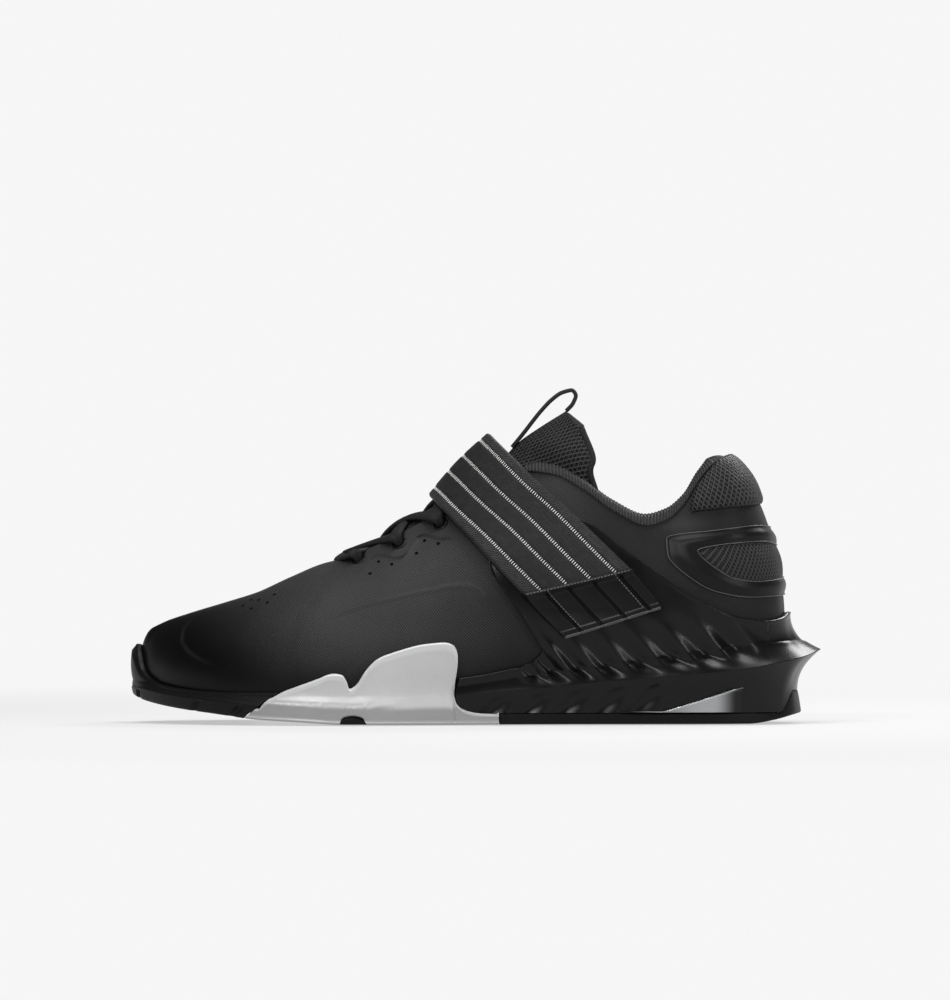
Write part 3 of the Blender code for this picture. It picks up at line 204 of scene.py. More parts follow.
WINGS = Table("foot_x edge_x edge_z inner_edge_z", [
    (-97.5, -91.9, 4.4, 4.4),
    (-91.0, -89.5, 9.0, 9.0),
    (-84.5, -83.0, 13.8, 13.2),
    (-78.0, -77.0, 16.2, 14.2),
    (-68.0, -68.0, 19.4, 15.0),
    (-61.0, -60.5, 21.9, 15.8),
    (-57.5, -57.0, 21.4, 16.0),
    (-55.5, -55.0, 18.8, 15.4),
    (-53.5, -53.6, 15.6, 14.4),
    (-51.0, -51.6, 16.6, 14.8),
    (-46.5, -46.6, 23.4, 16.8),
    (-42.0, -41.6, 28.2, 18.8),
    (-33.0, -33.2, 31.4, 20.8),
    (-22.0, -21.8, 34.4, 22.4),
    (-14.0, -13.0, 35.2, 23.0),
    (-11.0, -9.0, 33.8, 22.4),
    (-10.4, -7.5, 29.6, 20.6),
    (-10.0, -8.2, 22.6, 18.0),
    (-9.6, -9.8, 17.6, 15.6),
    (-9.3, -10.0, 12.0, 12.0),
    (-8.9, -9.2, 4.6, 4.6),
    (9.6, 9.6, 4.6, 4.6),
])

# Toe rubber: its rim above each place along its foot

BUMPER_RIM = Table("foot_s rim_s rim_z", [
    (0.7775, 0.7305, 14.0),
    (0.83, 0.80, 14.0),
    (0.88, 0.87, 14.8),
    (0.91, 0.905, 15.8),
    (0.94, 0.94, 18.2),
    (0.965, 0.965, 23.0),
    (0.985, 0.985, 30.5),
    (1.00, 1.00, 34.4),
])

# Tongue: middle of its outer face, half width, how far its edges lie behind and below the
# middle, and thickness

TONGUE = Table("t x z half behind below thick", [
    (0.00, -74.0, 61.6, 12.0, 1.0, 1.8, 2.2),
    (0.12, -58.0, 66.4, 15.0, 1.9, 4.3, 2.4),
    (0.26, -40.0, 75.0, 17.5, 4.2, 8.2, 2.8),
    (0.40, -22.0, 86.0, 18.5, 5.8, 9.8, 3.2),
    (0.54, -4.0, 97.6, 17.0, 7.4, 10.0, 4.0),
    (0.66, 10.0, 110.0, 15.0, 12.0, 10.5, 4.6),
    (0.76, 18.5, 119.6, 15.0, 24.0, 14.0, 5.4),
    (0.88, 29.0, 127.4, 15.6, 21.5, 15.0, 6.0),
    (1.00, 39.0, 134.2, 13.0, 7.0, 6.6, 4.6),
])

# Strap: its front and rear edge from the free end on the outer side over the instep to the
# inner side. A row with a lift lies that far off the upper; the others give their own y.

STRAP_EDGES = Table("t side front_x front_z rear_x rear_z front_lift rear_lift front_y rear_y", [
    (0.00, -1, 20.6, 55.2, 67.2, 65.6, 3.5, 3.4, 0.0, 0.0),
    (0.13, -1, 8.6, 67.6, 53.0, 79.4, 3.5, 3.4, 0.0, 0.0),
    (0.26, -1, -3.4, 80.4, 39.0, 93.2, 3.3, 3.4, 0.0, 0.0),
    (0.36, -1, -12.2, 90.4, 26.6, 105.2, 0.0, 0.0, -24.0, -29.8),
    (0.44, -1, -17.0, 95.4, 15.4, 116.2, 0.0, 0.0, -14.5, -22.8),
    (0.52, 0, -18.6, 97.0, 6.6, 124.8, 0.0, 0.0, 0.0, 0.0),
    (0.60, 1, -17.4, 95.4, 15.0, 116.2, 0.0, 0.0, 14.5, 22.4),
    (0.68, 1, -11.6, 90.9, 26.0, 105.4, 0.0, 0.0, 23.9, 28.8),
    (0.80, 1, 0.0, 79.0, 42.0, 91.0, 2.4, 2.4, 0.0, 0.0),
    (1.00, 1, 25.0, 60.6, 64.0, 65.4, 0.8, 0.8, 0.0, 0.0),
])

STRAP_TIP = Table("t front_x front_z rear_x rear_z", [
    (0.0, 20.6, 54.6, 67.6, 65.0),
    (0.5, 29.0, 45.8, 74.6, 57.4),
    (1.0, 37.4, 37.4, 81.4, 50.0),
])

# Moulded frame behind the ankle: outer outline, then the window inside it, as half loops

HEEL_FRAME = Table("t outer_x outer_z window_x window_z", [
    (0.00, 136.0, 84.4, 136.0, 76.0),
    (0.14, 121.0, 85.2, 122.5, 78.0),
    (0.28, 101.0, 83.0, 110.0, 77.2),
    (0.40, 82.6, 79.8, 97.0, 74.2),
    (0.50, 83.0, 73.2, 98.5, 72.0),
    (0.62, 92.0, 63.4, 104.5, 67.0),
    (0.76, 105.0, 56.6, 112.0, 62.8),
    (0.88, 119.0, 54.4, 122.0, 61.4),
    (1.00, 136.0, 55.2, 136.0, 63.0),
])

HEEL_TAB = Table("s low_z share", [
    (0.00, 94.4, 0.97),
    (0.04, 94.0, 0.97),
    (0.08, 93.2, 0.965),
    (0.12, 91.8, 0.96),
    (0.145, 90.8, 0.95),
])

# Eyelets: where the lace holes of each side lie along the shoe

EYELET_X_OUTER = (-50.0, -32.5, -14.8, 2.0)
EYELET_X_INNER = (-55.0, -38.0, -20.5, -3.2)


# The upper's own surface

def outline(u):
    """Feather line: u below zero is the outer side, above zero the inner."""
    return np.stack([
        SECTIONS.around("base_x", "base_x", u),
        SECTIONS.around("base_out", "base_in", u),
        SECTIONS.around("base_z", "base_z", u),
    ], axis=-1)


def outward(u):
    """Level direction that points away from the foot."""
    step = 0.004
    run = outline(u + step) - outline(u - step)
    normal = np.stack([run[..., 1], -run[..., 0], np.zeros_like(run[..., 0])], axis=-1)
    return normal / np.linalg.norm(normal, axis=-1, keepdims=True)


def wall(u, v):
    """Outer face of the upper: v is 0 at the sole and 1 at the top edge."""
    u, v = np.broadcast_arrays(np.asarray(u, dtype=float), np.asarray(v, dtype=float))
    base = outline(u)
    top = np.stack([
        SECTIONS.around("top_x", "top_x", u),
        SECTIONS.around("top_out", "top_in", u),
        SECTIONS.around("top_z", "top_z", u),
    ], axis=-1)
    out = outward(u)
    up = np.array([0.0, 0.0, 1.0])
    lean = np.radians(SECTIONS.around("lean", "lean", u))[..., None]
    tuck = np.radians(SECTIONS.around("tuck", "tuck", u))[..., None]
    rise = SECTIONS.around("rise", "rise", u)[..., None]
    crown = SECTIONS.around("crown", "crown", u)[..., None]
    low = base + rise * (out * np.sin(lean) + up * np.cos(lean))
    high = top + crown * (out * np.cos(tuck) - up * np.sin(tuck))
    t = v[..., None]
    return (1 - t) ** 3 * base + 3 * t * (1 - t) ** 2 * low + 3 * t ** 2 * (1 - t) * high + t ** 3 * top


def wall_normal(u, v):
    u, v = np.broadcast_arrays(np.asarray(u, dtype=float), np.asarray(v, dtype=float))
    v = np.clip(v, 0.0, 0.985)
    step = 0.003
    along = wall(u + step, v) - wall(u - step, v)
    up = wall(u, np.clip(v + step, 0, 1)) - wall(u, np.clip(v - step, 0, 1))
    normal = np.cross(along, up)
    return normal / np.linalg.norm(normal, axis=-1, keepdims=True)


PLACES = np.linspace(-1.0, 1.0, 801)
SHARES = np.linspace(0.0, 1.0, 61)
WALL_POINTS = wall(PLACES[:, None], SHARES[None, :])
HEIGHTS = np.maximum.accumulate(WALL_POINTS[..., 2], axis=-1)


def share_at(u, z):
    """How far up its wall the upper reaches height z."""
    u, z = np.broadcast_arrays(np.asarray(u, dtype=float), np.asarray(z, dtype=float))
    place = (np.clip(u, -1.0, 1.0) + 1.0) / 2.0 * (len(PLACES) - 1)
    cell = np.clip(place.astype(int), 0, len(PLACES) - 2)
    part = (place - cell)[..., None]
    rows = HEIGHTS[cell] * (1.0 - part) + HEIGHTS[cell + 1] * part
    above = np.clip(np.sum(rows < z[..., None], axis=-1), 1, len(SHARES) - 1)[..., None]
    low = np.take_along_axis(rows, above - 1, axis=-1)[..., 0]
    high = np.take_along_axis(rows, above, axis=-1)[..., 0]
    within = np.clip((z - low) / np.maximum(high - low, 1e-6), 0.0, 1.0)
    return (above[..., 0] - 1 + within) / (len(SHARES) - 1)


def skin(u, z, lift):
    """Point at height z, lifted off the upper; under the feather line it drops straight down."""
    u, z, lift = np.broadcast_arrays(
        np.asarray(u, dtype=float), np.asarray(z, dtype=float), np.asarray(lift, dtype=float))
    v = share_at(u, z)
    over = wall(u, v) + wall_normal(u, v) * lift[..., None]
    under = outline(u) + outward(u) * lift[..., None]
    under[..., 2] = z
    sunk = blend(0.0, 4.0, outline(u)[..., 2] + 2.0 - z)[..., None]
    return over * (1.0 - sunk) + under * sunk


def station(side, x, z):
    """Place along the foot where the upper at height z lies at x."""
    s = np.linspace(0.0, 1.0, 201)
    u = side * s
    forward = wall(u, share_at(u, z))[..., 0]
    return float(np.interp(-x, np.maximum.accumulate(-forward), s))


def grid_normals(grid):
    """Normals of a grid of points, from its neighbours along both ways."""
    along = np.gradient(grid, axis=0)
    across = np.gradient(grid, axis=1)
    normal = np.cross(along, across)
    return normal / np.maximum(np.linalg.norm(normal, axis=-1, keepdims=True), 1e-9)


def upper_thickness(s, v):
    """Thin over the foot, padded along the collar."""
    collar = (1.0 - blend(0.40, 0.47, s)) * blend(0.45, 0.85, v)
    return UPPER_WALL + (COLLAR_WALL - UPPER_WALL) * collar


def eyelet_places():
    """Middle and direction of each lace hole, the outer side's first."""
    places = []
    for side, columns in ((-1, EYELET_X_OUTER), (1, EYELET_X_INNER)):
        for x in columns:
            share = 0.925
            s = 0.5
            for _ in range(30):
                s -= (x - wall(side * s, share)[..., 0]) / 350.0
            normal = wall_normal(side * s, share)
            places.append((wall(side * s, share), normal))
    return places


def outsole_top(s):
    """Height where rubber ends and midsole begins; it climbs behind the heel."""
    level = GROUND.read("z", s) + OUTSOLE
    heel = 1.0 - blend(0.03, 0.055, s)
    return np.where(s < 0.12, OUTSOLE + (14.0 - OUTSOLE) * heel, level)


def flutes(s, climb):
    """How far the slanted flutes sink the side, between the ridge (0) and the cage's edge (1)."""
    phase = (np.asarray(s) - FLUTE_START) / (FLUTE_END - FLUTE_START)
    inside = blend(0.0, 0.06, phase) * (1.0 - blend(0.93, 1.0, phase))
    wave = 0.5 - 0.5 * np.cos(2.0 * math.pi * FLUTE_COUNT * phase)
    reach = blend(0.02, 0.22, climb) * (1.0 - blend(0.42, 0.8, climb))
    return FLUTE_DEPTH * wave * inside * reach


def midsole_side(side, s, climb):
    """Outer face of the midsole: climb runs -1 at its foot, 0 on the ridge, 1 at the cage's edge."""
    edge_s, edge_z = cage_edge(side, s)
    ridge_z = MIDSOLE.read("ridge_z", s)
    ridge_out = MIDSOLE.read("ridge_out", s)
    if climb <= 0:
        low = outsole_top(s) + SEAT
        z = ridge_z + (ridge_z - low) * climb
        hollow = (1.0 + climb) ** 2.2
        foot = MIDSOLE.read("foot_out", s)
        return side * s, z, foot + (ridge_out - foot) * hollow
    z = ridge_z + (edge_z - ridge_z) * climb
    lip = MIDSOLE.read("edge_out", s)
    hollow = (1.0 - climb) ** 2.6
    out = lip + (ridge_out - lip) * hollow - flutes(s, climb) * (ridge_out - lip) / 4.0
    return side * (s + (edge_s - s) * climb), z, max(out, lip - 0.1)


def cage_edge(side, s):
    prefix = "edge" if side < 0 else "inner_edge"
    x = float(MIDSOLE.read(prefix + "_x", s))
    z = float(MIDSOLE.read(prefix + "_z", s))
    if s <= 0.07:
        return s, z
    return station(side, x, z), z


def place_path(path):
    u, z, lift = np.array(path, dtype=float).T
    return skin(u, z, lift)


def tongue_point(t, a, depth):
    """Point of the tongue: a runs -1 to 1 across it, depth 0 is its outer face."""
    x = TONGUE.read("x", t)
    z = TONGUE.read("z", t)
    step = 0.01
    run = np.array([
        TONGUE.read("x", t + step) - TONGUE.read("x", t - step),
        TONGUE.read("z", t + step) - TONGUE.read("z", t - step),
    ])
    run /= np.linalg.norm(run)
    inward = np.array([run[1], 0.0, -run[0]])
    half = TONGUE.read("half", t)
    behind, below = TONGUE.read("behind", t), TONGUE.read("below", t)
    centre = np.array([x, 0.6 * (1.0 - t), z])
    across = np.array([0.0, half * math.sin(0.5 * math.pi * a), 0.0])
    thick = TONGUE.read("thick", t) * (1.0 - 0.45 * abs(a) ** 3)
    back = np.array([behind, 0.0, -below]) * (1.0 - math.cos(0.5 * math.pi * a))
    tilt = inward * math.cos(0.45 * math.pi * a) - np.array([0.0, math.sin(0.45 * math.pi * a), 0.0])
    return centre + across + back + tilt * thick * depth


def side_point(side, x, z, lift):
    s = station(side, x, z)
    return skin(side * s, z, lift)


def strap_edges():
    """Both edges of the strap's under face as smooth curves through the rows."""
    knots = {"front": [], "rear": []}
    for row in STRAP_EDGES.rows:
        named = dict(zip(STRAP_EDGES.columns, row))
        for edge, places in knots.items():
            if named[edge + "_lift"] > 0:
                place = side_point(named["side"], named[edge + "_x"], named[edge + "_z"],
                                   named[edge + "_lift"])
            else:
                place = np.array([named[edge + "_x"], named[edge + "_y"], named[edge + "_z"]])
            places.append(place)
    keys = STRAP_EDGES.rows[:, 0]
    t = np.linspace(0.0, 1.0, 25)
    edges = []
    for edge in ("front", "rear"):
        places = np.array(knots[edge])
        edges.append(np.stack([Curve(keys, places[:, axis])(t) for axis in range(3)], axis=-1))
    return edges


# The scene's own sizes

FRAME = 432.8              # height of the finished picture at the shoe's middle
AIM_X, AIM_Z = 0.26, 96.1  # what the middle of the picture looks at
PIXEL = 0.4301             # one pixel of the picture on the shoe's outer side
MIDDLE_COLUMN, MIDDLE_ROW = 475.0, 500.0
SIDE_Z = 96.6              # height of the middle row on the outer side
LENS = 600.0
SENSOR = 36.0
CAMERA_TILT = 0.7          # degrees down
RIB_PITCH = 1.5            # ribs of the collar's knit roll
TICK_PITCH = 1.1           # pale dashes woven into the strap
TICK_SIZE = (0.32, 1.7, 0.10)


def spot(px, py):
    """Place in the side view, in millimetres, of a place in the picture."""
    return (px - MIDDLE_COLUMN) * PIXEL + AIM_X, (MIDDLE_ROW - py) * PIXEL + SIDE_Z


def trace(*marks):
    """Smooth line through places of the picture, as side-view points under a millimetre apart."""
    points = np.array([spot(*mark) for mark in marks])
    steps = np.linalg.norm(np.diff(points, axis=0), axis=1)
    length = np.concatenate([[0.0], np.cumsum(steps)])
    at = np.linspace(0.0, length[-1], max(8, int(length[-1] / 0.8)))
    return np.stack([Curve(length, points[:, axis])(at) for axis in (0, 1)], axis=-1)


def off_line(x, z, line):
    """Distance from side-view points to a line, and the share along it where they are nearest."""
    best = np.full(np.shape(x), 1e9)
    share = np.zeros(np.shape(x))
    count = len(line) - 1
    for cell in range(count):
        start, run = line[cell], line[cell + 1] - line[cell]
        size = float(run @ run)
        t = np.clip(((x - start[0]) * run[0] + (z - start[1]) * run[1]) / size, 0.0, 1.0)
        gap = np.hypot(x - start[0] - run[0] * t, z - start[1] - run[1] * t)
        nearer = gap < best
        best = np.where(nearer, gap, best)
        share = np.where(nearer, (cell + t) / count, share)
    return best, share


def welt(x, z, line, width, height):
    """Soft ridge along a line, thinning out at both its ends."""
    gap, share = off_line(x, z, line)
    ends = blend(0.0, 0.06, share) * (1.0 - blend(0.94, 1.0, share))
    return height * np.exp(-(gap / width) ** 2) * (0.25 + 0.75 * ends)


# Meshes

def quads(rows, columns, wrap_rows=False, wrap_columns=False):
    """Corners of the faces between a grid's points, which may close on itself either way."""
    row = np.arange(rows if wrap_rows else rows - 1)
    column = np.arange(columns if wrap_columns else columns - 1)
    a, b = np.meshgrid(row, column, indexing="ij")
    a_next, b_next = (a + 1) % rows, (b + 1) % columns
    corners = (a * columns + b, a_next * columns + b, a_next * columns + b_next, a * columns + b_next)
    return np.stack(corners, axis=-1).reshape(-1, 4)


def piece(name, points, faces, look, nodes=(), uv=None, tone=None, weld=0.0, flip=None, flat=False):
    """Mesh object from points in millimetres, riding on the shoe's one body."""
    points = np.asarray(points, dtype=float).reshape(-1, 3)
    mesh = bpy.data.meshes.new(name)
    faces = [tuple(face) for face in faces]
    mesh.from_pydata((points * MM).tolist(), [], faces)
    if uv is not None:
        layer = mesh.uv_layers.new(name="cloth")
        corner = np.empty(len(mesh.loops), dtype=np.int32)
        mesh.loops.foreach_get("vertex_index", corner)
        layer.data.foreach_set("uv", np.asarray(uv, dtype=np.float32).reshape(-1, 2)[corner].ravel())
    if tone is not None:
        marks = mesh.attributes.new("tone", "FLOAT", "POINT")
        marks.data.foreach_set("value", np.asarray(tone, dtype=np.float32).ravel())
    work = bmesh.new()
    work.from_mesh(mesh)
    if weld > 0.0:
        bmesh.ops.remove_doubles(work, verts=work.verts, dist=weld * MM)
    if flip is None:
        bmesh.ops.recalc_face_normals(work, faces=work.faces)
    elif flip:
        bmesh.ops.reverse_faces(work, faces=work.faces)
    work.to_mesh(mesh)
    work.free()
    if not flat:
        mesh.shade_smooth()
    mesh.materials.append(look)
    made = bpy.data.objects.new(name, mesh)
    bpy.context.scene.collection.objects.link(made)
    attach(made, "root")
    if nodes:
        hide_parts(*nodes)
    return made


def lengths(grid):
    """Distances along both ways of a grid of points, for a weave that keeps its scale."""
    rows = np.linalg.norm(np.diff(grid, axis=0), axis=-1)
    columns = np.linalg.norm(np.diff(grid, axis=1), axis=-1)
    along = np.concatenate([[0.0], np.cumsum(np.median(rows, axis=1))])
    across = np.concatenate([np.zeros((len(grid), 1)), np.cumsum(columns, axis=1)], axis=1)
    return np.stack([np.broadcast_to(along[:, None], across.shape), across], axis=-1)


def loft(name, loops, look, nodes=(), closed=False, tone=None):
    """Closed solid through a row of closed loops, which may itself run round to its start."""
    loops = np.asarray(loops)
    rows, columns = loops.shape[:2]
    faces = [tuple(face) for face in quads(rows, columns, closed, True)]
    if not closed:
        faces.append(tuple(range(columns)))
        faces.append(tuple(range((rows - 1) * columns, rows * columns))[::-1])
    return piece(name, loops, faces, look, nodes, tone=tone)


def sweep(name, path, across, up, profile, look, nodes=(), closed=False, tone=None):
    """Profile of (across, up) pairs, or one such row for each place, swept along a path."""
    profile = np.asarray(profile, dtype=float)
    if profile.ndim == 2:
        profile = np.broadcast_to(profile, (len(path),) + profile.shape)
    grid = path[:, None, :] + across[:, None, :] * profile[..., :1] + up[:, None, :] * profile[..., 1:]
    return loft(name, grid, look, nodes, closed, tone)


def rounded(width, height, steps=20, power=2.6):
    """Rounded flat profile, as (across, up) pairs round its middle."""
    angle = np.linspace(0.0, 2.0 * math.pi, steps, endpoint=False)
    cosine, sine = np.cos(angle), np.sin(angle)
    return np.stack([
        0.5 * width * np.sign(cosine) * np.abs(cosine) ** (2.0 / power),
        0.5 * height * np.sign(sine) * np.abs(sine) ** (2.0 / power),
    ], axis=-1)


def boxes(name, middles, along, across, up, size, look, taper=0.8):
    """Many small blocks as one mesh; size holds their length, width and height."""
    middles, along, across, up = (np.asarray(part, dtype=float) for part in (middles, along, across, up))
    corners = []
    for high in (0.0, 1.0):
        narrow = taper if high else 1.0
        for a, b in ((-0.5, -0.5), (0.5, -0.5), (0.5, 0.5), (-0.5, 0.5)):
            corners.append(middles + along * size[0] * a * narrow + across * size[1] * b * narrow
                           + up * size[2] * high)
    points = np.stack(corners, axis=1)
    shape = np.array([(0, 1, 2, 3), (4, 5, 6, 7), (0, 1, 5, 4), (1, 2, 6, 5), (2, 3, 7, 6), (3, 0, 4, 7)])
    faces = (np.arange(len(points))[:, None, None] * 8 + shape[None]).reshape(-1, 4)
    return piece(name, points, faces, look, flat=True)


def unit(vectors):
    return vectors / np.maximum(np.linalg.norm(vectors, axis=-1, keepdims=True), 1e-9)


def run_length(points):
    """Length of a line of points up to each of them."""
    return np.concatenate([[0.0], np.cumsum(np.linalg.norm(np.diff(points, axis=0), axis=1))])


def values_at(at, length, values):
    return np.stack([np.interp(at, length, values[:, axis]) for axis in range(3)], axis=-1)


def walk(points, pitch):
    """Even places along a line, with the direction there."""
    length = run_length(points)
    at = np.arange(0.5 * pitch, length[-1], pitch)
    places, ahead = values_at(at, length, points), values_at(at + 0.05, length, points)
    return places, unit(ahead - places + 1e-9)


def circle(direction, radius, steps):
    """Ring of points round a direction, about the origin."""
    side = unit(np.cross(direction, (1.0, 0.0, 0.0)))
    along = np.cross(side, direction)
    angle = np.linspace(0.0, 2.0 * math.pi, steps, endpoint=False)
    return radius * (np.cos(angle)[:, None] * along + np.sin(angle)[:, None] * side)


def on_skin(side, line, lift):
    """Side-view line laid on the upper, and the upper's normal there."""
    out, normals = [], []
    for x, z in line:
        s = station(side, x, z)
        out.append(skin(side * s, z, lift))
        normals.append(wall_normal(side * s, float(share_at(side * s, z))))
    return np.array(out), np.array(normals)


# Materials

class Look:
    """Procedural material built from a few nodes round one shader."""

    def __init__(self, name, colour, roughness, specular=0.3, metallic=0.0, coat=0.0, coat_roughness=0.15):
        self.material = bpy.data.materials.new(name)
        self.material.use_nodes = True
        self.tree = self.material.node_tree
        self.shader = next(node for node in self.tree.nodes if node.type == "BSDF_PRINCIPLED")
        self.set("Base Color", (*colour, 1.0))
        self.set("Roughness", roughness)
        self.set("Specular IOR Level", specular)
        self.set("Metallic", metallic)
        self.set("Coat Weight", coat)
        self.set("Coat Roughness", coat_roughness)

    def set(self, name, value):
        self.plug(self.shader.inputs[name], value)

    def node(self, kind, **inputs):
        made = self.tree.nodes.new(kind)
        for name, value in inputs.items():
            self.plug(made.inputs[name.replace("_", " ")], value)
        return made

    def plug(self, socket, value):
        if isinstance(value, bpy.types.NodeSocket):
            self.tree.links.new(value, socket)
        else:
            socket.default_value = value

    def math(self, operation, a, b=0.0):
        made = self.tree.nodes.new("ShaderNodeMath")
        made.operation = operation
        self.plug(made.inputs[0], a)
        self.plug(made.inputs[1], b)
        return made.outputs[0]

    def object_place(self):
        return self.tree.nodes.new("ShaderNodeTexCoord").outputs["Object"]

    def cloth_place(self):
        place = self.tree.nodes.new("ShaderNodeTexCoord").outputs["UV"]
        split = self.node("ShaderNodeSeparateXYZ", Vector=place)
        return split.outputs["X"], split.outputs["Y"]

    def noise(self, scale, detail=3.0, rough=0.55):
        return self.node("ShaderNodeTexNoise", Vector=self.object_place(), Scale=scale, Detail=detail,
                         Roughness=rough).outputs["Fac"]

    def tone(self):
        made = self.tree.nodes.new("ShaderNodeAttribute")
        made.attribute_name = "tone"
        return made.outputs["Fac"]

    def wave(self, place, period, turn=0.0):
        """Sine of 0 to 1 along a coordinate in millimetres."""
        angle = self.math("MULTIPLY_ADD", place, 2.0 * math.pi / period)
        angle.node.inputs[2].default_value = turn
        return self.math("MULTIPLY_ADD", self.math("SINE", angle), 0.5)

    def ramp(self, value, low, high, first=0.0, last=1.0):
        made = self.tree.nodes.new("ShaderNodeMapRange")
        made.interpolation_type = "SMOOTHSTEP"
        for name, part in (("Value", value), ("From Min", low), ("From Max", high), ("To Min", first),
                           ("To Max", last)):
            self.plug(made.inputs[name], part)
        return made.outputs["Result"]

    def mix(self, factor, first, second):
        made = self.tree.nodes.new("ShaderNodeMix")
        made.data_type = "RGBA"
        self.plug(made.inputs[0], factor)
        for socket, colour in ((made.inputs[6], first), (made.inputs[7], second)):
            self.plug(socket, colour if isinstance(colour, bpy.types.NodeSocket) else (*colour, 1.0))
        return made.outputs[2]

    def bump(self, height, distance, strength=1.0):
        """Add one more layer of relief, distance in millimetres."""
        made = self.node("ShaderNodeBump", Strength=strength, Distance=distance * MM, Height=height)
        old = self.shader.inputs["Normal"]
        if old.is_linked:
            self.tree.links.new(old.links[0].from_socket, made.inputs["Normal"])
        self.tree.links.new(made.outputs["Normal"], old)


def upper_cloth():
    """Twill film, coloured by the cloth's tone, which holds painted shadow, painted shade and painted
    highlights as well as the darker toe.
    """
    look = Look("scene_upper_cloth", (0.05, 0.05, 0.052), 0.5, 0.12)
    across, up = look.cloth_place()
    stray = look.math("MULTIPLY", look.noise(420.0, 2.0, 0.6), 0.9)
    slant = look.math("ADD", look.math("ADD", across, up), stray)
    counter = look.math("ADD", look.math("SUBTRACT", across, look.math("MULTIPLY", up, 0.8)), stray)
    crossing = look.ramp(look.wave(counter, 0.98), 0.0, 0.8, 0.35, 1.0)
    twill = look.math("MULTIPLY", look.wave(slant, 1.12), crossing)
    tone = look.tone()
    cloudy = look.ramp(look.noise(26.0, 2.0), 0.3, 0.7, 0.86, 1.1)
    # the tone brings painted shadow, painted shade and painted highlights into the base colour; the cloudy
    # noise and the twill are the cloth's own
    bright = look.math("MULTIPLY", look.math("MULTIPLY", tone, cloudy), look.ramp(twill, 0.1, 0.9, 0.45, 1.5))
    look.set("Base Color", look.mix(bright, (0.0010, 0.0010, 0.0012), (0.048, 0.046, 0.048)))
    look.set("Roughness", look.ramp(tone, 0.05, 0.6, 0.36, 0.56))
    look.bump(look.math("MULTIPLY", twill, look.ramp(tone, 0.0, 0.3, 0.25, 1.0)), 0.05)
    look.bump(look.noise(900.0, 2.0), 0.02)
    return look.material


def coarse_mesh(name, pitch=2.3):
    """Open spacer mesh: threads round staggered holes, the holes painted near black as shade."""
    look = Look(name, (0.02, 0.02, 0.021), 0.55, 0.22)
    across, up = look.cloth_place()
    first = look.wave(look.math("ADD", across, look.math("MULTIPLY", up, 0.62)), pitch)
    second = look.wave(look.math("SUBTRACT", across, look.math("MULTIPLY", up, 0.62)), pitch)
    thread = look.math("MAXIMUM", first, second)
    # near black between the threads: painted shade in the holes
    look.set("Base Color", look.mix(look.ramp(thread, 0.45, 0.95), (0.0008, 0.0008, 0.0009),
                                    (0.034, 0.034, 0.035)))
    look.bump(look.ramp(thread, 0.3, 1.0), 0.7)
    look.bump(look.noise(1500.0, 2.0), 0.05)
    return look.material


def gloss_black():
    look = Look("scene_moulded_black", (0.0022, 0.0022, 0.0024), 0.28, 0.2, coat=0.04, coat_roughness=0.12)
    look.set("Roughness", look.ramp(look.noise(40.0, 3.0), 0.3, 0.7, 0.25, 0.34))
    look.bump(look.noise(700.0, 2.0), 0.012)
    return look.material


def rubber_black():
    look = Look("scene_black_rubber", (0.010, 0.010, 0.0105), 0.42, 0.14)
    speck = look.ramp(look.noise(1400.0, 3.0, 0.8), 0.62, 0.72)
    look.set("Base Color", look.mix(speck, (0.0040, 0.0040, 0.0043), (0.04, 0.04, 0.04)))
    look.bump(look.noise(1600.0, 3.0), 0.05)
    return look.material


def rubber_silver():
    look = Look("scene_silver_rubber", (0.42, 0.42, 0.43), 0.42, 0.35, metallic=0.25)
    flake = look.ramp(look.noise(2600.0, 2.0, 0.7), 0.3, 0.7, 0.94, 1.05)
    cloudy = look.ramp(look.noise(30.0, 3.0), 0.3, 0.7, 0.93, 1.05)
    # the tone is painted light: lighter over the upper wing and darker below the crease, with painted
    # highlights on the beads; flake and cloudy noise are the rubber's own grain
    light = look.math("MULTIPLY", look.math("MULTIPLY", look.tone(), flake), cloudy)
    look.set("Base Color", look.mix(light, (0.11, 0.11, 0.112), (0.60, 0.60, 0.605)))
    look.bump(look.noise(1300.0, 2.0), 0.02)
    return look.material


def knit():
    look = Look("scene_collar_knit", (0.018, 0.018, 0.019), 0.65, 0.25)
    # the tone holds painted shade in the grooves between the collar roll's ribs
    light = look.math("MULTIPLY", look.tone(), look.ramp(look.noise(1200.0, 2.0), 0.35, 0.65, 0.5, 1.0))
    look.set("Base Color", look.mix(light, (0.0020, 0.0020, 0.0022), (0.036, 0.036, 0.037)))
    look.bump(look.noise(1500.0, 2.0), 0.15)
    return look.material


def webbing():
    look = Look("scene_strap_webbing", (0.02, 0.02, 0.021), 0.6, 0.2)
    across, up = look.cloth_place()
    edge = look.tone()
    rib = look.wave(across, 0.62)
    twill = look.wave(look.math("ADD", across, look.math("MULTIPLY", up, 0.8)), 1.5)
    woven = look.math("ADD", look.math("MULTIPLY", rib, 0.6), look.math("MULTIPLY", twill, edge))
    fuzz = look.ramp(look.noise(300.0, 4.0, 0.7), 0.3, 0.7, 0.6, 1.25)
    look.set("Base Color", look.mix(look.math("MULTIPLY", woven, fuzz), (0.0035, 0.0035, 0.0037),
                                    (0.034, 0.034, 0.035)))
    look.bump(woven, 0.16)
    look.bump(look.noise(1800.0, 2.0), 0.06)
    return look.material


def plain_fabric(name, colour, roughness=0.75):
    look = Look(name, colour, roughness, 0.2)
    fuzz = look.ramp(look.noise(1700.0, 3.0, 0.7), 0.3, 0.7)
    look.set("Base Color", look.mix(fuzz, tuple(0.55 * part for part in colour),
                                    tuple(1.5 * part for part in colour)))
    look.bump(look.noise(1900.0, 2.0), 0.1)
    return look.material


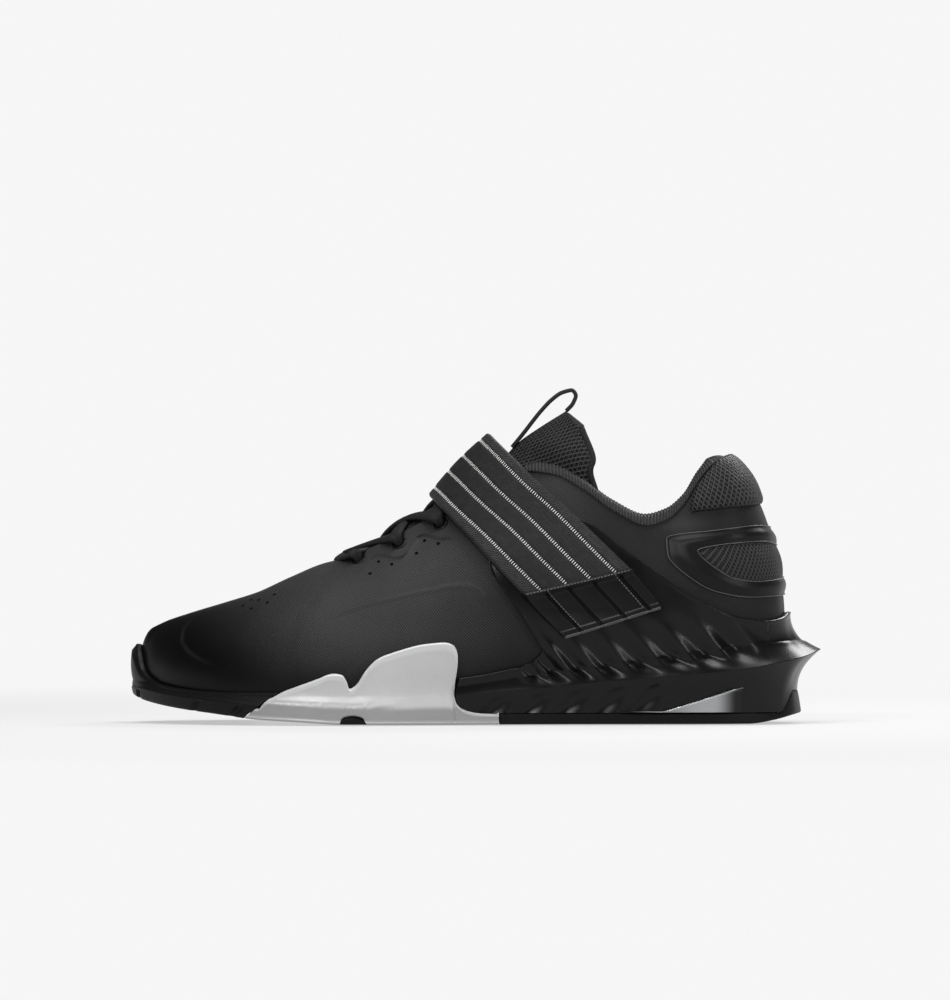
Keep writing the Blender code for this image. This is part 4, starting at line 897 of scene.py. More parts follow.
def heel_gloss():
    """Smoke-silver insert whose colour and metal come from a painted reflection: bright across its middle,
    darkening towards the back.
    """
    look = Look("scene_heel_plate", (0.3, 0.3, 0.31), 0.2, 0.22, coat=0.06, coat_roughness=0.05)
    tone = look.tone()
    # the tone is a painted reflection, with a painted highlight along the top
    look.set("Base Color", look.mix(tone, (0.003, 0.003, 0.0033), (0.55, 0.56, 0.57)))
    look.set("Metallic", look.math("MULTIPLY", tone, 0.8))
    look.bump(look.noise(120.0, 2.0), 0.08)
    return look.material


def plain(name, colour, roughness, specular=0.3, grain=0.03):
    look = Look(name, colour, roughness, specular)
    look.bump(look.noise(1500.0, 2.0), grain)
    return look.material


LOOKS = {
    "cloth": upper_cloth(),
    "mesh": coarse_mesh("scene_coarse_mesh"),
    "fine_mesh": coarse_mesh("scene_window_mesh", 2.0),
    "moulded": gloss_black(),
    "rubber": rubber_black(),
    "silver": rubber_silver(),
    "knit": knit(),
    "webbing": webbing(),
    "lace": plain_fabric("scene_lace_cord", (0.011, 0.011, 0.012)),
    "lining": plain_fabric("scene_lining", (0.02, 0.02, 0.022), 0.85),
    "tape": plain_fabric("scene_tape", (0.014, 0.014, 0.015), 0.6),
    "plate": heel_gloss(),
    "dash": plain("scene_pale_dash", (0.80, 0.80, 0.78), 0.5),
    "stitch": plain("scene_grey_stitch", (0.10, 0.10, 0.10), 0.6),
    # near-black perforations: painted shade inside the holes
    "hole": plain("scene_hole_painted_shade", (0.001, 0.001, 0.001), 0.9, 0.05),
    "satin": plain("scene_satin_black", (0.0045, 0.0045, 0.005), 0.36, 0.16, 0.04),
    "lip": plain("scene_patch_lip", (0.035, 0.035, 0.036), 0.35, 0.4, 0.02),
    "piping": plain("scene_edge_line", (0.07, 0.07, 0.071), 0.35, 0.4, 0.02),
}


# Upper

TOE_ARC = trace((252, 597), (234.8, 600.4), (211.8, 609.6), (191.2, 621), (182, 632.5), (180.8, 641.7),
                (186.6, 650.9), (198, 658.9), (214, 664))
VAMP_WELT = trace((330, 618), (352.7, 609), (375, 602.6), (398.7, 597), (418, 592.6), (435, 589.6),
                  (447, 586.6), (459, 585.2), (470, 585.6), (478.7, 588.5), (485, 594))
EYESTAY = (
    (trace((358, 578), (369, 565), (372, 561)), 1.0, 0.30),
    (trace((403, 562), (414, 545), (418, 540)), 1.0, 0.30),
    (trace((372, 559), (378, 556), (386, 556.6), (395, 559), (403, 558), (408, 554)), 0.9, 0.38),
    (trace((418, 538), (425, 536), (433, 537.5), (441, 539.6), (450, 539)), 0.9, 0.38),
)
DOTS = ((242, 607), (250.7, 609.5), (258, 601), (266.7, 603.5), (273.7, 595.5), (250, 601), (424.4, 541.3),
        (438, 544), (416.3, 553.8), (378.4, 562.3), (391.6, 564.8), (369.7, 574.2))
TROUGHS = (
    (trace((283, 588), (286, 594), (296, 600), (312, 604)), 2.0, -0.35),
    (trace((300, 583), (305, 592), (318, 600)), 2.6, -0.25),
    (trace((300, 640), (330, 652), (352, 672)), 7.0, -0.35),
    (trace((215, 676), (260, 668), (300, 672)), 6.0, -0.30),
)


def relief(x, z):
    """Small ridges and creases on the upper, as a height over its smooth wall."""
    height = welt(x, z, TOE_ARC, 0.7, 0.34) + welt(x, z, VAMP_WELT, 0.75, 0.5)
    for line, width, rise in EYESTAY + TROUGHS:
        height = height + welt(x, z, line, width, rise)
    return height


def cloth_tone_and_painted_light(x, z, facing):
    """How light the cloth is: near black over the toe and darker low down, charcoal at the quarter. On top:
    painted shadow under the strap, painted shade towards the heel, a painted highlight under the collar,
    painted highlights along the toe arc, the vamp welt and the eyestay's welts, and darker along the
    eyestay's scalloped lines.
    """
    front = blend(-124.0, -40.0, x + 0.9 * (z - 34.0))
    low = 0.26 + 0.74 * blend(14.0, 44.0, z - 0.06 * x)
    # painted shadow under the strap, and painted shade that deepens towards the heel
    painted_strap_shadow = np.exp(-((x - 22.0) / 26.0) ** 2) * (1.0 - blend(50.0, 78.0, z))
    rear = (1.0 - 0.60 * painted_strap_shadow) * (1.0 - 0.62 * blend(30.0, 66.0, x))
    # painted highlight under the collar
    painted_collar_highlight = 0.5 * np.exp(-((x - 90.0) / 9.0) ** 2 - ((z - 86.0) / 3.6) ** 2)
    # painted highlights along the toe arc, the vamp welt and the eyestay's welts; the scalloped lines below
    # the eyelets are made darker
    arc, share = off_line(x, z, TOE_ARC)
    painted_welt_lines = 0.30 * np.exp(-(arc / 0.5) ** 2) * (1.0 - blend(0.75, 1.0, share))
    line, share = off_line(x, z, VAMP_WELT)
    painted_welt_lines = painted_welt_lines + 0.75 * np.exp(-(line / 0.5) ** 2) * blend(0.15, 0.6, share)
    for welt_line, *_ in EYESTAY[:2]:
        painted_welt_lines = painted_welt_lines + 0.35 * np.exp(-(off_line(x, z, welt_line)[0] / 0.5) ** 2)
    for welt_line, *_ in EYESTAY[2:]:
        painted_welt_lines = painted_welt_lines - 0.75 * np.exp(-(off_line(x, z, welt_line)[0] / 0.65) ** 2)
    return np.clip(0.03 + 0.85 * front * low * rear + (painted_welt_lines + painted_collar_highlight) * facing, 0.0, 1.1)


def holed(grid):
    """Faces of a grid of points, without those in the lace holes."""
    faces = quads(*grid.shape[:2])
    middles = grid.reshape(-1, 3)[faces].mean(axis=1)
    inside = np.zeros(len(middles), dtype=bool)
    for place, direction in EYELETS:
        away = middles - place
        depth = away @ direction
        apart = np.linalg.norm(away - depth[:, None] * direction, axis=-1)
        inside |= (apart < EYELET_RADIUS + 0.3) & (np.abs(depth) < 6.0)
    return faces[~inside]


EYELET_RIM = ((2.0, -2.2), (2.0, 0.1), (2.25, 0.42), (2.9, 0.5), (3.5, 0.22),
              (3.7, -0.25))   # radius and lift
DOT_RADIUS = 0.78


def build_upper():
    """Outer cloth with its welts and creases, and the lining a wall's thickness inside it."""
    columns, rows = ((760, 104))
    ring = np.linspace(-1.0, 1.0, columns)
    shares = np.linspace(0.0, 1.0, rows)
    u, v = np.meshgrid(ring, shares, indexing="ij")
    plain_wall = wall(u, v)
    normal = wall_normal(u, v)
    edge = blend(1.0, 0.93, v)
    facing = 1.0 - blend(0.62, 0.86, np.abs(normal[..., 2]))
    height = relief(plain_wall[..., 0], plain_wall[..., 2]) * edge * facing
    outer = plain_wall + normal * height[..., None]
    # the cloth's tone, with its painted shadow, painted shade and painted highlights
    tone = cloth_tone_and_painted_light(plain_wall[..., 0], plain_wall[..., 2], facing)
    piece("upper_cloth", outer, holed(outer), LOOKS["cloth"], ("upper",), uv=lengths(outer),
          tone=tone, weld=0.02, flip=False)
    step = 2                                   # the lining has half the cloth's rows and columns
    inner = (plain_wall - normal * upper_thickness(np.abs(u), v)[..., None])[::step, ::step]
    rim = plain_wall[::step, -1:] - normal[::step, -1:] * 0.05
    inner = np.concatenate([inner, rim], axis=1)
    piece("upper_lining", inner, holed(inner), LOOKS["lining"], flip=True)


def build_holes():
    """Raised rims of the lace holes, and the small perforations, drawn as near-black discs of painted shade.
    """
    steps = 28
    rims = np.array([[place + direction * lift + circle(direction, out, steps) for out, lift in EYELET_RIM]
                     for place, direction in EYELETS])
    ring = quads(len(EYELET_RIM), steps, wrap_columns=True)
    faces = np.concatenate([ring + hole * len(EYELET_RIM) * steps for hole in range(len(EYELETS))])
    piece("eyelet_rims", rims, faces, LOOKS["satin"])
    discs, steps = [], 12
    for side in (-1, 1):
        for place, direction in zip(*on_skin(side, [spot(*dot) for dot in DOTS], 0.06)):
            discs.append(place + circle(direction, DOT_RADIUS, steps))
    faces = [tuple(range(steps * disc, steps * disc + steps)) for disc in range(len(discs))]
    piece("perforations", np.array(discs), faces, LOOKS["hole"])


# Midsole

FLUTE_MARKS = (5.0, 15.0, 24.6, 34.8, 45.2, 57.8, 72.6, 87.0, 101.3, 115.6, 130.0, 144.0)


def crest(wave, power):
    return np.maximum(wave, 0.0) ** power


def build_midsole():
    """Side wall of the midsole: slanted flutes above its ridge, facets below."""
    end_s = JOIN + 0.0015
    fine = np.concatenate([np.linspace(0.0, 0.05, 30)[:-1], np.linspace(0.05, end_s, 340)])
    below_ridge, above_ridge = np.linspace(-1.0, 0.0, 20)[:-1], np.linspace(0.0, 1.0, 44)[1:]
    climbs = np.concatenate([below_ridge, [-0.012, 0.0, 0.012], above_ridge])
    sides = {}
    for side in (-1, 1):
        marks = np.concatenate([np.linspace(0.0, 0.0699, 6), np.linspace(0.0701, end_s, 110)])
        edges = np.array([cage_edge(side, s) for s in marks], dtype=float)
        edge_s = np.interp(fine, marks, edges[:, 0])[:, None]
        edge_z = np.interp(fine, marks, edges[:, 1])[:, None]
        s = np.broadcast_to(fine[:, None], (len(fine), len(climbs)))
        climb = np.broadcast_to(climbs[None, :], s.shape)
        ridge_z = MIDSOLE.read("ridge_z", s)
        ridge_out = MIDSOLE.read("ridge_out", s)
        low = outsole_top(s) + SEAT
        foot = MIDSOLE.read("foot_out", s)
        lip = MIDSOLE.read("edge_out", s)
        below = climb <= 0
        z = np.where(below, ridge_z + (ridge_z - low) * climb, ridge_z + (edge_z - ridge_z) * climb)
        under = foot + (ridge_out - foot) * np.clip(1.0 + climb, 0.0, 1.0) ** 2.2
        above = lip + (ridge_out - lip) * np.clip(1.0 - climb, 0.0, 1.0) ** 2.6
        place_s = np.where(below, s, s + (edge_s - s) * climb)
        out = np.where(below, under, above)
        x = skin(side * place_s, z, out)[..., 0]
        over = z - ridge_z
        phase = np.interp(x + 0.85 * (over - 7.0), FLUTE_MARKS, np.arange(len(FLUTE_MARKS)))
        flute = crest(0.5 + 0.5 * np.cos(2.0 * math.pi * phase), 0.9)
        reach = blend(0.5, 8.0, over) * (1.0 - blend(7.0, 27.0 + 0.05 * (x - 30.0), over))
        span = blend(16.0, 32.0, x + 0.5 * over) * (1.0 - blend(108.0, 132.0, x))
        sink = 2.7 * flute * reach * span
        phase = (x - 0.9 * over - 6.0) / 17.0
        facet = crest(0.5 - 0.5 * np.cos(2.0 * math.pi * phase), 1.0)
        reach = blend(0.4, 5.0, -over) * (1.0 - 0.6 * blend(8.0, 15.0, -over))
        span = blend(-6.0, 6.0, x) * (1.0 - blend(84.0, 100.0, x))
        sink = sink + 1.9 * facet * reach * span
        rim = np.exp(-(((1.0 - climb) * np.maximum(edge_z - ridge_z, 4.0)) / 1.1) ** 2) * ~below
        out = np.maximum(out - sink, 1.2) + 0.35 * rim
        sides[side] = skin(side * place_s, z, out)
        end = skin(side * edge_s[:, 0], edge_z[:, 0], 0.25)
        over_lip = (sides[side][:, -1:] * 0.5 + end[:, None] * 0.5) + np.array([0.0, 0.0, 0.25])
        sides[side] = np.concatenate([sides[side], over_lip, end[:, None]], axis=1)
    grid = np.concatenate([sides[-1][::-1], sides[1][1:]])
    piece("midsole_wall", grid, quads(*grid.shape[:2]), LOOKS["moulded"], ("midsole",),
          weld=0.01)


# Rubber

def ring_loft(name, stations, path_for, look, nodes):
    """Solid across the sole: path_for gives the outer and inner path of a side at one place."""
    loops, tones_with_painted_light = [], []
    for place in stations:
        outer, inner, tone = {}, {}, {}
        for side in (-1, 1):
            outside, inside = path_for(side, place)
            outer[side], inner[side] = place_path(outside), place_path(inside)
            marks = np.array([(abs(u), z) for u, z, _ in outside])
            above = marks[:, 1] - GROUND.read("z", marks[:, 0])
            # painted light for the silver wing: lighter above the crease, as though lit from above, and
            # darker below it
            tone[side] = 0.42 + blend(7.0, 7.9, above) * (0.34 + 0.16 * (1.0 - blend(8.0, 22.0, above)))
            # painted highlight on the beads at the wing's edge
            tone[side][:6] += 0.3
            # painted highlight on the bead near the ground
            tone[side] += 0.3 * np.exp(-((above - 1.2) / 0.6) ** 2)
        loops.append(np.concatenate([outer[-1], outer[1][::-1], inner[1], inner[-1][::-1]]))
        tones_with_painted_light.append(np.concatenate([tone[-1], tone[1][::-1], np.full(len(inner[1]) * 2, 0.3)]))
    return loft(name, loops, LOOKS[look], nodes, tone=np.array(tones_with_painted_light))


NOTCH_X = -52.3            # middle of the notch under the forefoot


def build_notch_plugs():
    """Dark rounded insert in the notch under each side of the forefoot."""
    for side, name in ((-1, "notch_plug_outer"), (1, "notch_plug_inner")):
        loops = []
        for x in np.linspace(-58.3, -46.3, 30):
            s = station(side, x, 14.0)
            ground = float(GROUND.read("z", s))
            high = 3.75 * math.sqrt(max(1.0 - ((x - NOTCH_X) / 6.2) ** 2, 0.004))
            section = ((0.15, 3.2), (0.4 * high, 4.1), (0.8 * high, 3.9), (high, 3.3), (high, -5.0),
                       (0.15, -5.0))
            loops.append(place_path([(side * s, ground + z, lift) for z, lift in section]))
        loft(name, loops, LOOKS["rubber"])


def toe_section(side, s):
    """Section of the toe rubber at one place, from the bumper's rim down to the ground."""
    rim_s = float(BUMPER_RIM.read("rim_s", s))
    rim_z = float(BUMPER_RIM.read("rim_z", s))
    ground = float(GROUND.read("z", s))
    top = ground + OUTSOLE
    shelf = min(ground + 5.6, 13.0 + 0.2 * ground)
    lip = SEAT + BUMPER
    face = float(lip + 1.4 * blend(0.92, 1.0, s))
    foot_x = float(skin(side * s, shelf, 4.0)[0])
    recess = max(float(1.0 - blend(0.6 * half, half, abs(foot_x - middle))) for middle, half in TOE_GAPS)

    def place(z):
        return side * (s + (rim_s - s) * np.clip((z - ground) / (rim_z - ground), 0.0, 1.0))

    outer = []
    rim_z = rim_z - 1.0 * float(blend(0.93, 0.99, s))
    for z, lift in ((rim_z - 0.25, -0.3), (rim_z, 0.6), (rim_z - 0.1, 0.6 * lip + 0.3), (rim_z - 0.45, lip),
                    (rim_z - 1.0, lip + 0.15)):
        outer.append((place(z), z, lift))
    for down in np.linspace(0.12, 1.0, 9):
        z = rim_z - 0.9 + (shelf - rim_z + 0.9) * down
        rise = face + (4.75 - face) * down ** 1.4
        outer.append((place(z), z, rise))
    outer.append((place(shelf - 0.25), shelf - 0.25, 5.0))
    for down in np.linspace(0.1, 1.0, 5):
        z = shelf - 0.4 + (ground + 1.0 - shelf + 0.4) * down
        outer.append((place(z), z, 5.0 - 0.4 * down - 1.8 * recess * (down > 0.25)))
    outer.append((place(ground + 0.5), ground + 0.3, 4.2 - 1.6 * recess))
    outer.append((place(ground), ground, 3.4 - 1.4 * recess))
    top = float(GROUND.read("z", abs(place(top)))) + OUTSOLE
    inner = [(place(z), z, -0.3) for z in (rim_z - 0.3, 0.5 * (rim_z + top), top)]
    return outer, inner


TOE_GAPS = ((-144.8, 0.9), (-121.3, 1.2), (-105.2, 1.9))     # place and half width of the toe's lug gaps

WING_TAIL = (
    # foot_x edge_x edge_z behind the tall lobe, where it runs out along the ground
    (-9.0, -9.7, 13.0), (-7.6, -9.3, 10.6), (-5.8, -8.2, 8.6), (-3.6, -6.2, 7.0), (-1.0, -3.4, 5.9),
    (2.0, 0.4, 5.1), (5.6, 4.8, 4.75), (8.8, 8.6, 4.65), (9.6, 9.6, 4.6),
)


def wing_rows():
    """Rows along the silver wing's edge, even along its outline."""
    keep = WINGS.column("foot_x") < -9.45
    columns = [WINGS.column(name)[keep] for name in ("foot_x", "edge_x", "edge_z", "inner_edge_z")]
    tail = np.array(WING_TAIL)
    columns = [np.concatenate([column, tail[:, index]]) for column, index in zip(columns, (0, 1, 2, 2))]
    mark = np.concatenate([[0.0], np.cumsum(np.hypot(np.diff(columns[1]), np.diff(columns[2])) + 0.4)])
    at = np.linspace(0.0, mark[-1], 330)
    return np.stack([Curve(mark, column)(at) for column in columns], axis=-1)


def wing_section(side, row):
    """Section of the silver forefoot rubber, from the wing's edge to under the foot."""
    foot_x, edge_x, edge_z, inner_edge_z = row
    edge_z = edge_z if side < 0 else inner_edge_z
    foot_s = station(side, foot_x, 14.0)
    edge_s = station(side, edge_x, max(edge_z, 14.0))
    ground = float(GROUND.read("z", foot_s))
    top = ground + OUTSOLE
    notch = 3.8 * float(blend(-58.4, -56.6, foot_x) * (1.0 - blend(-48.0, -46.0, foot_x)))
    arch = 1.0 - ((foot_x - NOTCH_X) / 6.4) ** 2
    notch = notch * math.sqrt(max(arch, 0.0))
    edge_z = max(edge_z, top)
    front = foot_x < FORE_GROOVES_X[0] - 2.5
    tail = float(blend(-9.6, -8.4, foot_x))

    def slanted(z):
        share = 1.0 - (z - ground) / (edge_z - ground)
        return side * (edge_s + (foot_s - edge_s) * share)

    if front:
        top = float(GROUND.read("z", abs(slanted(top)))) + OUTSOLE
    crease = ground + 7.6

    def rise(z):
        lobe = SEAT + WING
        foot = 4.3
        if z <= crease:
            plain_rise = foot + 0.65 * (z - ground) / (crease - ground)
        else:
            plain_rise = lobe + (foot + 0.3 - lobe) * (1.0 - float(blend(crease, crease + 6.5, z)))
        return plain_rise + (5.25 - plain_rise) * tail

    reach = edge_z - ground
    outer = []
    for z, share in ((edge_z, 0.3), (edge_z - 0.04, 0.72), (edge_z - 0.3, 1.0)):
        outer.append((slanted(z), z, 0.4 + (rise(z) - 0.4) * share))
    beads = ((0.75, 0.6), (1.3, 0.55), (1.9, 0.1))
    for down, bead in beads:
        z = edge_z - min(down, 0.3 * reach)
        outer.append((slanted(z), z, rise(z) + bead * min(1.0, reach / 9.0)))
    low = ground + 2.2
    start = edge_z - min(1.9, 0.3 * reach)
    for down in np.linspace(0.07, 1.0, 15):
        z = start + (low - start) * down
        groove = 0.35 * math.exp(-((z - crease - 0.4) / 0.7) ** 2)
        outer.append((slanted(z), max(z, ground + notch + 0.3), rise(z) - groove))
    for z, lift in ((1.5, 4.25), (1.1, 4.7), (0.7, 4.8), (0.3, 4.4)):
        z = max(ground + z, ground + notch + 0.2)
        outer.append((slanted(z), z, lift + (5.2 - 4.7) * tail))
    outer.append((side * foot_s, ground + notch, 3.2))
    outer.append((side * foot_s, ground + notch, -6.0))
    inner = []
    for down in (0.0, 0.5, 1.0):
        z = edge_z + (top - edge_z) * down
        inner.append((slanted(z), z, 0.4))
    return outer, inner


def heel_section(side, s):
    """Section of the heel rubber at one place."""
    top = float(outsole_top(s))
    out = float(GROUND.read("out", s))
    foot = float(MIDSOLE.read("foot_out", s))
    ground = float(GROUND.read("z", s))
    outer = [(side * s, top - 0.02, foot)]
    for down in np.linspace(0.15, 0.9, 6):
        z = top + (ground + 0.8 - top) * down
        outer.append((side * s, z, foot + (out - foot) * down ** 0.8))
    outer += [(side * s, ground + 0.8, out), (side * s, ground + 0.25, out - 0.35),
              (side * s, ground, out - 1.2)]
    return outer, [(side * s, top, foot - 0.5)]


def build_rubber():
    count = 170
    ring_loft("toe_rubber", np.linspace(0.7775, 1.0, count), toe_section, "rubber",
              ("outsole_toe",))
    ring_loft("forefoot_rubber", wing_rows(), wing_section, "silver", ("outsole_forefoot",))
    ring_loft("heel_rubber", np.linspace(0.0, HEEL_END, count), heel_section, "rubber",
              ("outsole_heel",))


PLATE_TOP = ((60.0, 80.0, 94.8, 110.6, 120.0), (3.4, 4.9, 9.4, 14.8,
                                                17.0))      # x and height of its upper edge


def build_heel_plates():
    """Glossy wedge low on each side of the heel, with a raised bead along its top, a painted highlight on
    that bead and a painted reflection across its face.
    """
    for side, name in ((-1, "heel_plate_outer"), (1, "heel_plate_inner")):
        stations = np.linspace(0.106, 0.28, 80)
        shares = np.linspace(0.0, 1.0, 16)
        outer, tone = [], []
        for s in stations:
            low = float(outsole_top(s)) + SEAT
            ridge = float(MIDSOLE.read("ridge_z", s))
            at_x = float(skin(side * s, 8.0, 3.0)[0])
            top = max(low + 0.5, float(np.interp(at_x, *PLATE_TOP)))
            ease = float((1.0 - blend(108.0, 116.0, at_x)) * blend(60.0, 68.0, at_x))
            row = []
            for share in np.concatenate([shares, [1.0]]):
                z = low + 0.2 + (top - low - 0.2) * share
                u, z, out = midsole_side(side, s, (z - ridge) / (ridge - low))
                bead = 0.5 * math.exp(-((1.0 - share) * (top - low) / 0.55) ** 2)
                row.append((u, z, out - 0.1 + (SEAT + 0.9 + bead) * ease))
            row[-1] = (row[-1][0], row[-1][1] + 0.15, row[-1][2] - 1.6)
            line = place_path(row)
            outer.append(line)
            # painted reflection: bright across the middle, dark at the back
            glow = (1.0 - blend(103.0, 113.0, line[:, 0])) * (0.25 + 0.75 * blend(72.0, 98.0, line[:, 0]))
            # painted highlight along the top bead
            rim = np.exp(-((1.0 - np.append(shares, 1.0)) * (top - low) / 0.5) ** 2) * ease
            # the painted reflection fades to dark towards the front
            lead = blend(66.0, 84.0, line[:, 0])
            tone.append(np.clip((0.62 * glow + 0.8 * rim) * lead, 0.0, 1.0))
        outer = np.array(outer)
        piece(name, outer, quads(*outer.shape[:2]), LOOKS["plate"], (name,),
              tone=np.array(tone))


# Collar, heel and tongue

def build_binding():
    """Ribbed roll round the collar."""
    ring = np.linspace(-(CORNER - 0.002), CORNER - 0.002, 1500)
    ends, below = wall(ring, 1.0), wall(ring, 0.97)
    out = wall_normal(ring, 0.985)
    up = ends - below
    up = unit(up - out * np.sum(up * out, axis=-1, keepdims=True))
    thickness = upper_thickness(np.abs(ring), 1.0)[:, None]
    path = ends - out * thickness / 2.0
    length = run_length(path)
    angle = np.linspace(math.radians(-8.0), math.radians(188.0), 22)
    rib = crest(0.5 + 0.5 * np.cos(2.0 * math.pi * length / RIB_PITCH), 0.8)
    share = blend(0.0, 6.0, length) * blend(0.0, 6.0, length[-1] - length)
    grow = (0.95 + 0.09 * rib) * (0.72 + 0.28 * share)
    across = np.cos(angle)[None, :] * (0.5 * BINDING_WIDTH + 0.1) * grow[:, None]
    high = np.maximum(np.sin(angle)[None, :], -0.05) * BINDING_HEIGHT * grow[:, None]
    furrow = 0.22 * np.sin(2.0 * angle * 5.0)[None, :] * np.sin(angle)[None, :] * (1.0 - rib[:, None] * 0.6)
    profile = np.stack([across, high + furrow], axis=-1)
    # painted shade in the grooves between the ribs
    tone = np.broadcast_to((0.25 + 0.75 * rib)[:, None], profile.shape[:2])
    roll = sweep("collar_roll", path, out, up, profile, LOOKS["knit"], ("collar_binding",),
                 tone=tone)


def closed_pad(name, face, back, look, nodes, weave=None):
    """Cushioned sheet: a face grid and its back, joined round the rim."""
    grid = np.concatenate([back[:, :1], face, back[:, -1:]], axis=1)
    grid = np.concatenate([np.concatenate([back[:1, :1], back[:1], back[:1, -1:]], axis=1), grid,
                           np.concatenate([back[-1:, :1], back[-1:], back[-1:, -1:]], axis=1)])
    weave = lengths(grid) if weave is None else np.pad(weave, ((1, 1), (1, 1), (0, 0)), mode="edge")
    made = piece(name, grid, quads(*grid.shape[:2]), LOOKS[look], nodes, uv=weave)
    return made


def build_heel_tab():
    """Padded mesh at the back of the collar."""
    ring = np.linspace(-0.139, 0.139, 130)
    climb = np.linspace(0.0, 1.0, 48)
    face, back = [], []
    for u in ring:
        s = abs(u)
        low = float(share_at(u, float(HEEL_TAB.read("low_z", s))))
        high = float(HEEL_TAB.read("share", s))
        shares = low + (high - low) * climb
        span = 1.0 - blend(0.126, 0.139, s)
        rim = np.sqrt(np.clip(np.minimum(climb, 1.0 - climb) / 0.07, 0.0, 1.0))
        pad = (0.9 + 1.9 * np.sin(math.pi * (0.10 + 0.84 * climb)) * (1.0 - 0.4 * blend(0.09, 0.13, s)))
        lift = SEAT + 0.2 + pad * (0.25 + 0.75 * rim) * math.sqrt(max(span, 0.0))
        normal = wall_normal(u, shares)
        raised = np.zeros((len(climb), 3))
        raised[:, 2] = 1.5 * blend(0.5, 1.0, climb) * (1.0 - blend(0.05, 0.139, s))
        face.append(wall(u, shares) + normal * lift[:, None] + raised)
        back.append(wall(u, shares) + normal * (SEAT - 0.1) + raised)
    closed_pad("heel_pad", np.array(face), np.array(back), "mesh", ("heel_tab",))


def frame_loop(prefix, rows):
    """Outline of the heel frame as places on the upper, outer side first."""
    keys = HEEL_FRAME.column("t")
    marks = list(zip(HEEL_FRAME.column(prefix + "_x"), HEEL_FRAME.column(prefix + "_z")))
    loop = []
    for side in (-1, 1):
        along = [0.0] + [station(side, x, z) for x, z in marks[1:-1]] + [0.0]
        order = rows if side < 0 else rows[-2:0:-1]
        for s, z in zip(Curve(keys, np.array(along))(order), HEEL_FRAME.read(prefix + "_z", order)):
            loop.append((side * s, z))
    return np.array(loop)


def build_heel_frame():
    """Moulded ring round the heel's mesh window, with a fine line on both its edges."""
    rows = np.linspace(0.0, 1.0, 200)
    outer, window = frame_loop("outer", rows), frame_loop("window", rows)
    loops = []
    section = ((0.0, -0.2), (0.0, 0.1), (0.03, 0.5), (0.08, 0.35), (0.16, 0.45), (0.34, 1.1), (0.55, 1.5),
               (0.75, 1.35), (0.88, 0.9), (0.95, 1.0), (1.0, 0.7), (1.0, 0.0))
    for share, lift in section:
        place = outer + (window - outer) * share
        loops.append(skin(place[:, 0], place[:, 1], SEAT + lift))
    grid = np.array(loops)
    piece("heel_ring", grid, quads(*grid.shape[:2], wrap_columns=True), LOOKS["satin"],
          ("heel_frame",))
    half = window[:len(rows)]
    front = int(np.argmax(-half[:, 0]))
    across = np.linspace(-abs(half[front, 0]), abs(half[front, 0]), 70)
    face = []
    for u in across:
        high = np.interp(abs(u), -half[:front + 1, 0], half[:front + 1, 1])
        low = np.interp(abs(u), -half[front:, 0][::-1], half[front:, 1][::-1])
        share = np.linspace(0.0, 1.0, 26)
        puff = 0.5 + 0.9 * np.sin(math.pi * share) * (1.0 - (u / across[-1]) ** 4)
        z = low - 0.3 + (high - low + 0.6) * share
        face.append(skin(np.full_like(z, u), z, SEAT + puff))
    face = np.array(face)
    piece("heel_window", face, quads(*face.shape[:2]), LOOKS["fine_mesh"], uv=lengths(face))
    normal = unit(skin(outer[:, 0], outer[:, 1], 2.0) - skin(outer[:, 0], outer[:, 1], 0.0))
    for index, (share, lift) in enumerate(((0.02, 0.5), (0.96, 1.02))):
        place = outer + (window - outer) * share
        line = skin(place[:, 0], place[:, 1], SEAT + lift)
        run = unit(np.roll(line, -1, axis=0) - np.roll(line, 1, axis=0))
        sweep("heel_piping_%d" % index, line, np.cross(run, normal), normal, rounded(0.34, 0.3, 8),
              LOOKS["piping"], closed=True)


def flank(t, a, depth):
    """Tongue with its soft edges let down into the collar."""
    drop = 1.5 * math.exp(-((t - 0.72) / 0.085) ** 2) * (1.0 - math.cos(0.5 * math.pi * a))
    return tongue_point(t, a, depth) + np.array([8.5, 0.0, -5.5]) * drop


def build_tongue():
    """Padded tongue and the knit binding round its free edge."""
    rows = np.linspace(0.0, 1.0, 150)
    columns = np.linspace(-1.0, 1.0, 80)
    face = np.array([[flank(t, a, 0.0) for a in columns] for t in rows])
    back = np.array([[flank(t, a, 1.0) for a in columns] for t in rows])
    t, a = np.meshgrid(rows, columns, indexing="ij")
    normal = unit(face - back)
    puff = 0.7 * np.sin(math.pi * np.clip((t - 0.5) / 0.5, 0.0, 1.0)) * (1.0 - a ** 4)
    puff = puff + 4.0 * blend(0.08, 0.26, t) * (1.0 - blend(0.46, 0.60, t)) * (1.0 - 0.75 * a ** 2)
    face = face + normal * puff[..., None]
    weave = np.stack([0.6 * face[..., 0] - 0.8 * face[..., 2] + np.abs(face[..., 1]),
                      0.8 * face[..., 0] + 0.6 * face[..., 2]], axis=-1)
    closed_pad("tongue_pad", face, back, "mesh", ("tongue",), weave=weave)
    hem = []
    for side in (-1, 1):
        hem.append([flank(t, side * 0.99, 0.5) for t in np.linspace(0.50, 0.995, 90)])
    top = [flank(0.995, a, 0.5) for a in np.linspace(-0.99, 0.99, 60)]
    path = np.array(hem[0] + top[1:-1] + hem[1][::-1])
    places, run = walk(path, 0.7)
    up = unit(np.cross(run, np.cross(np.array([-0.75, 0.0, 0.65]), run)))
    across = np.cross(run, up)
    tone = np.full((len(places), 14), 0.35)
    sweep("tongue_binding", places, across, up, rounded(4.2, 3.2, 14, 2.2), LOOKS["knit"],
          tone=tone)


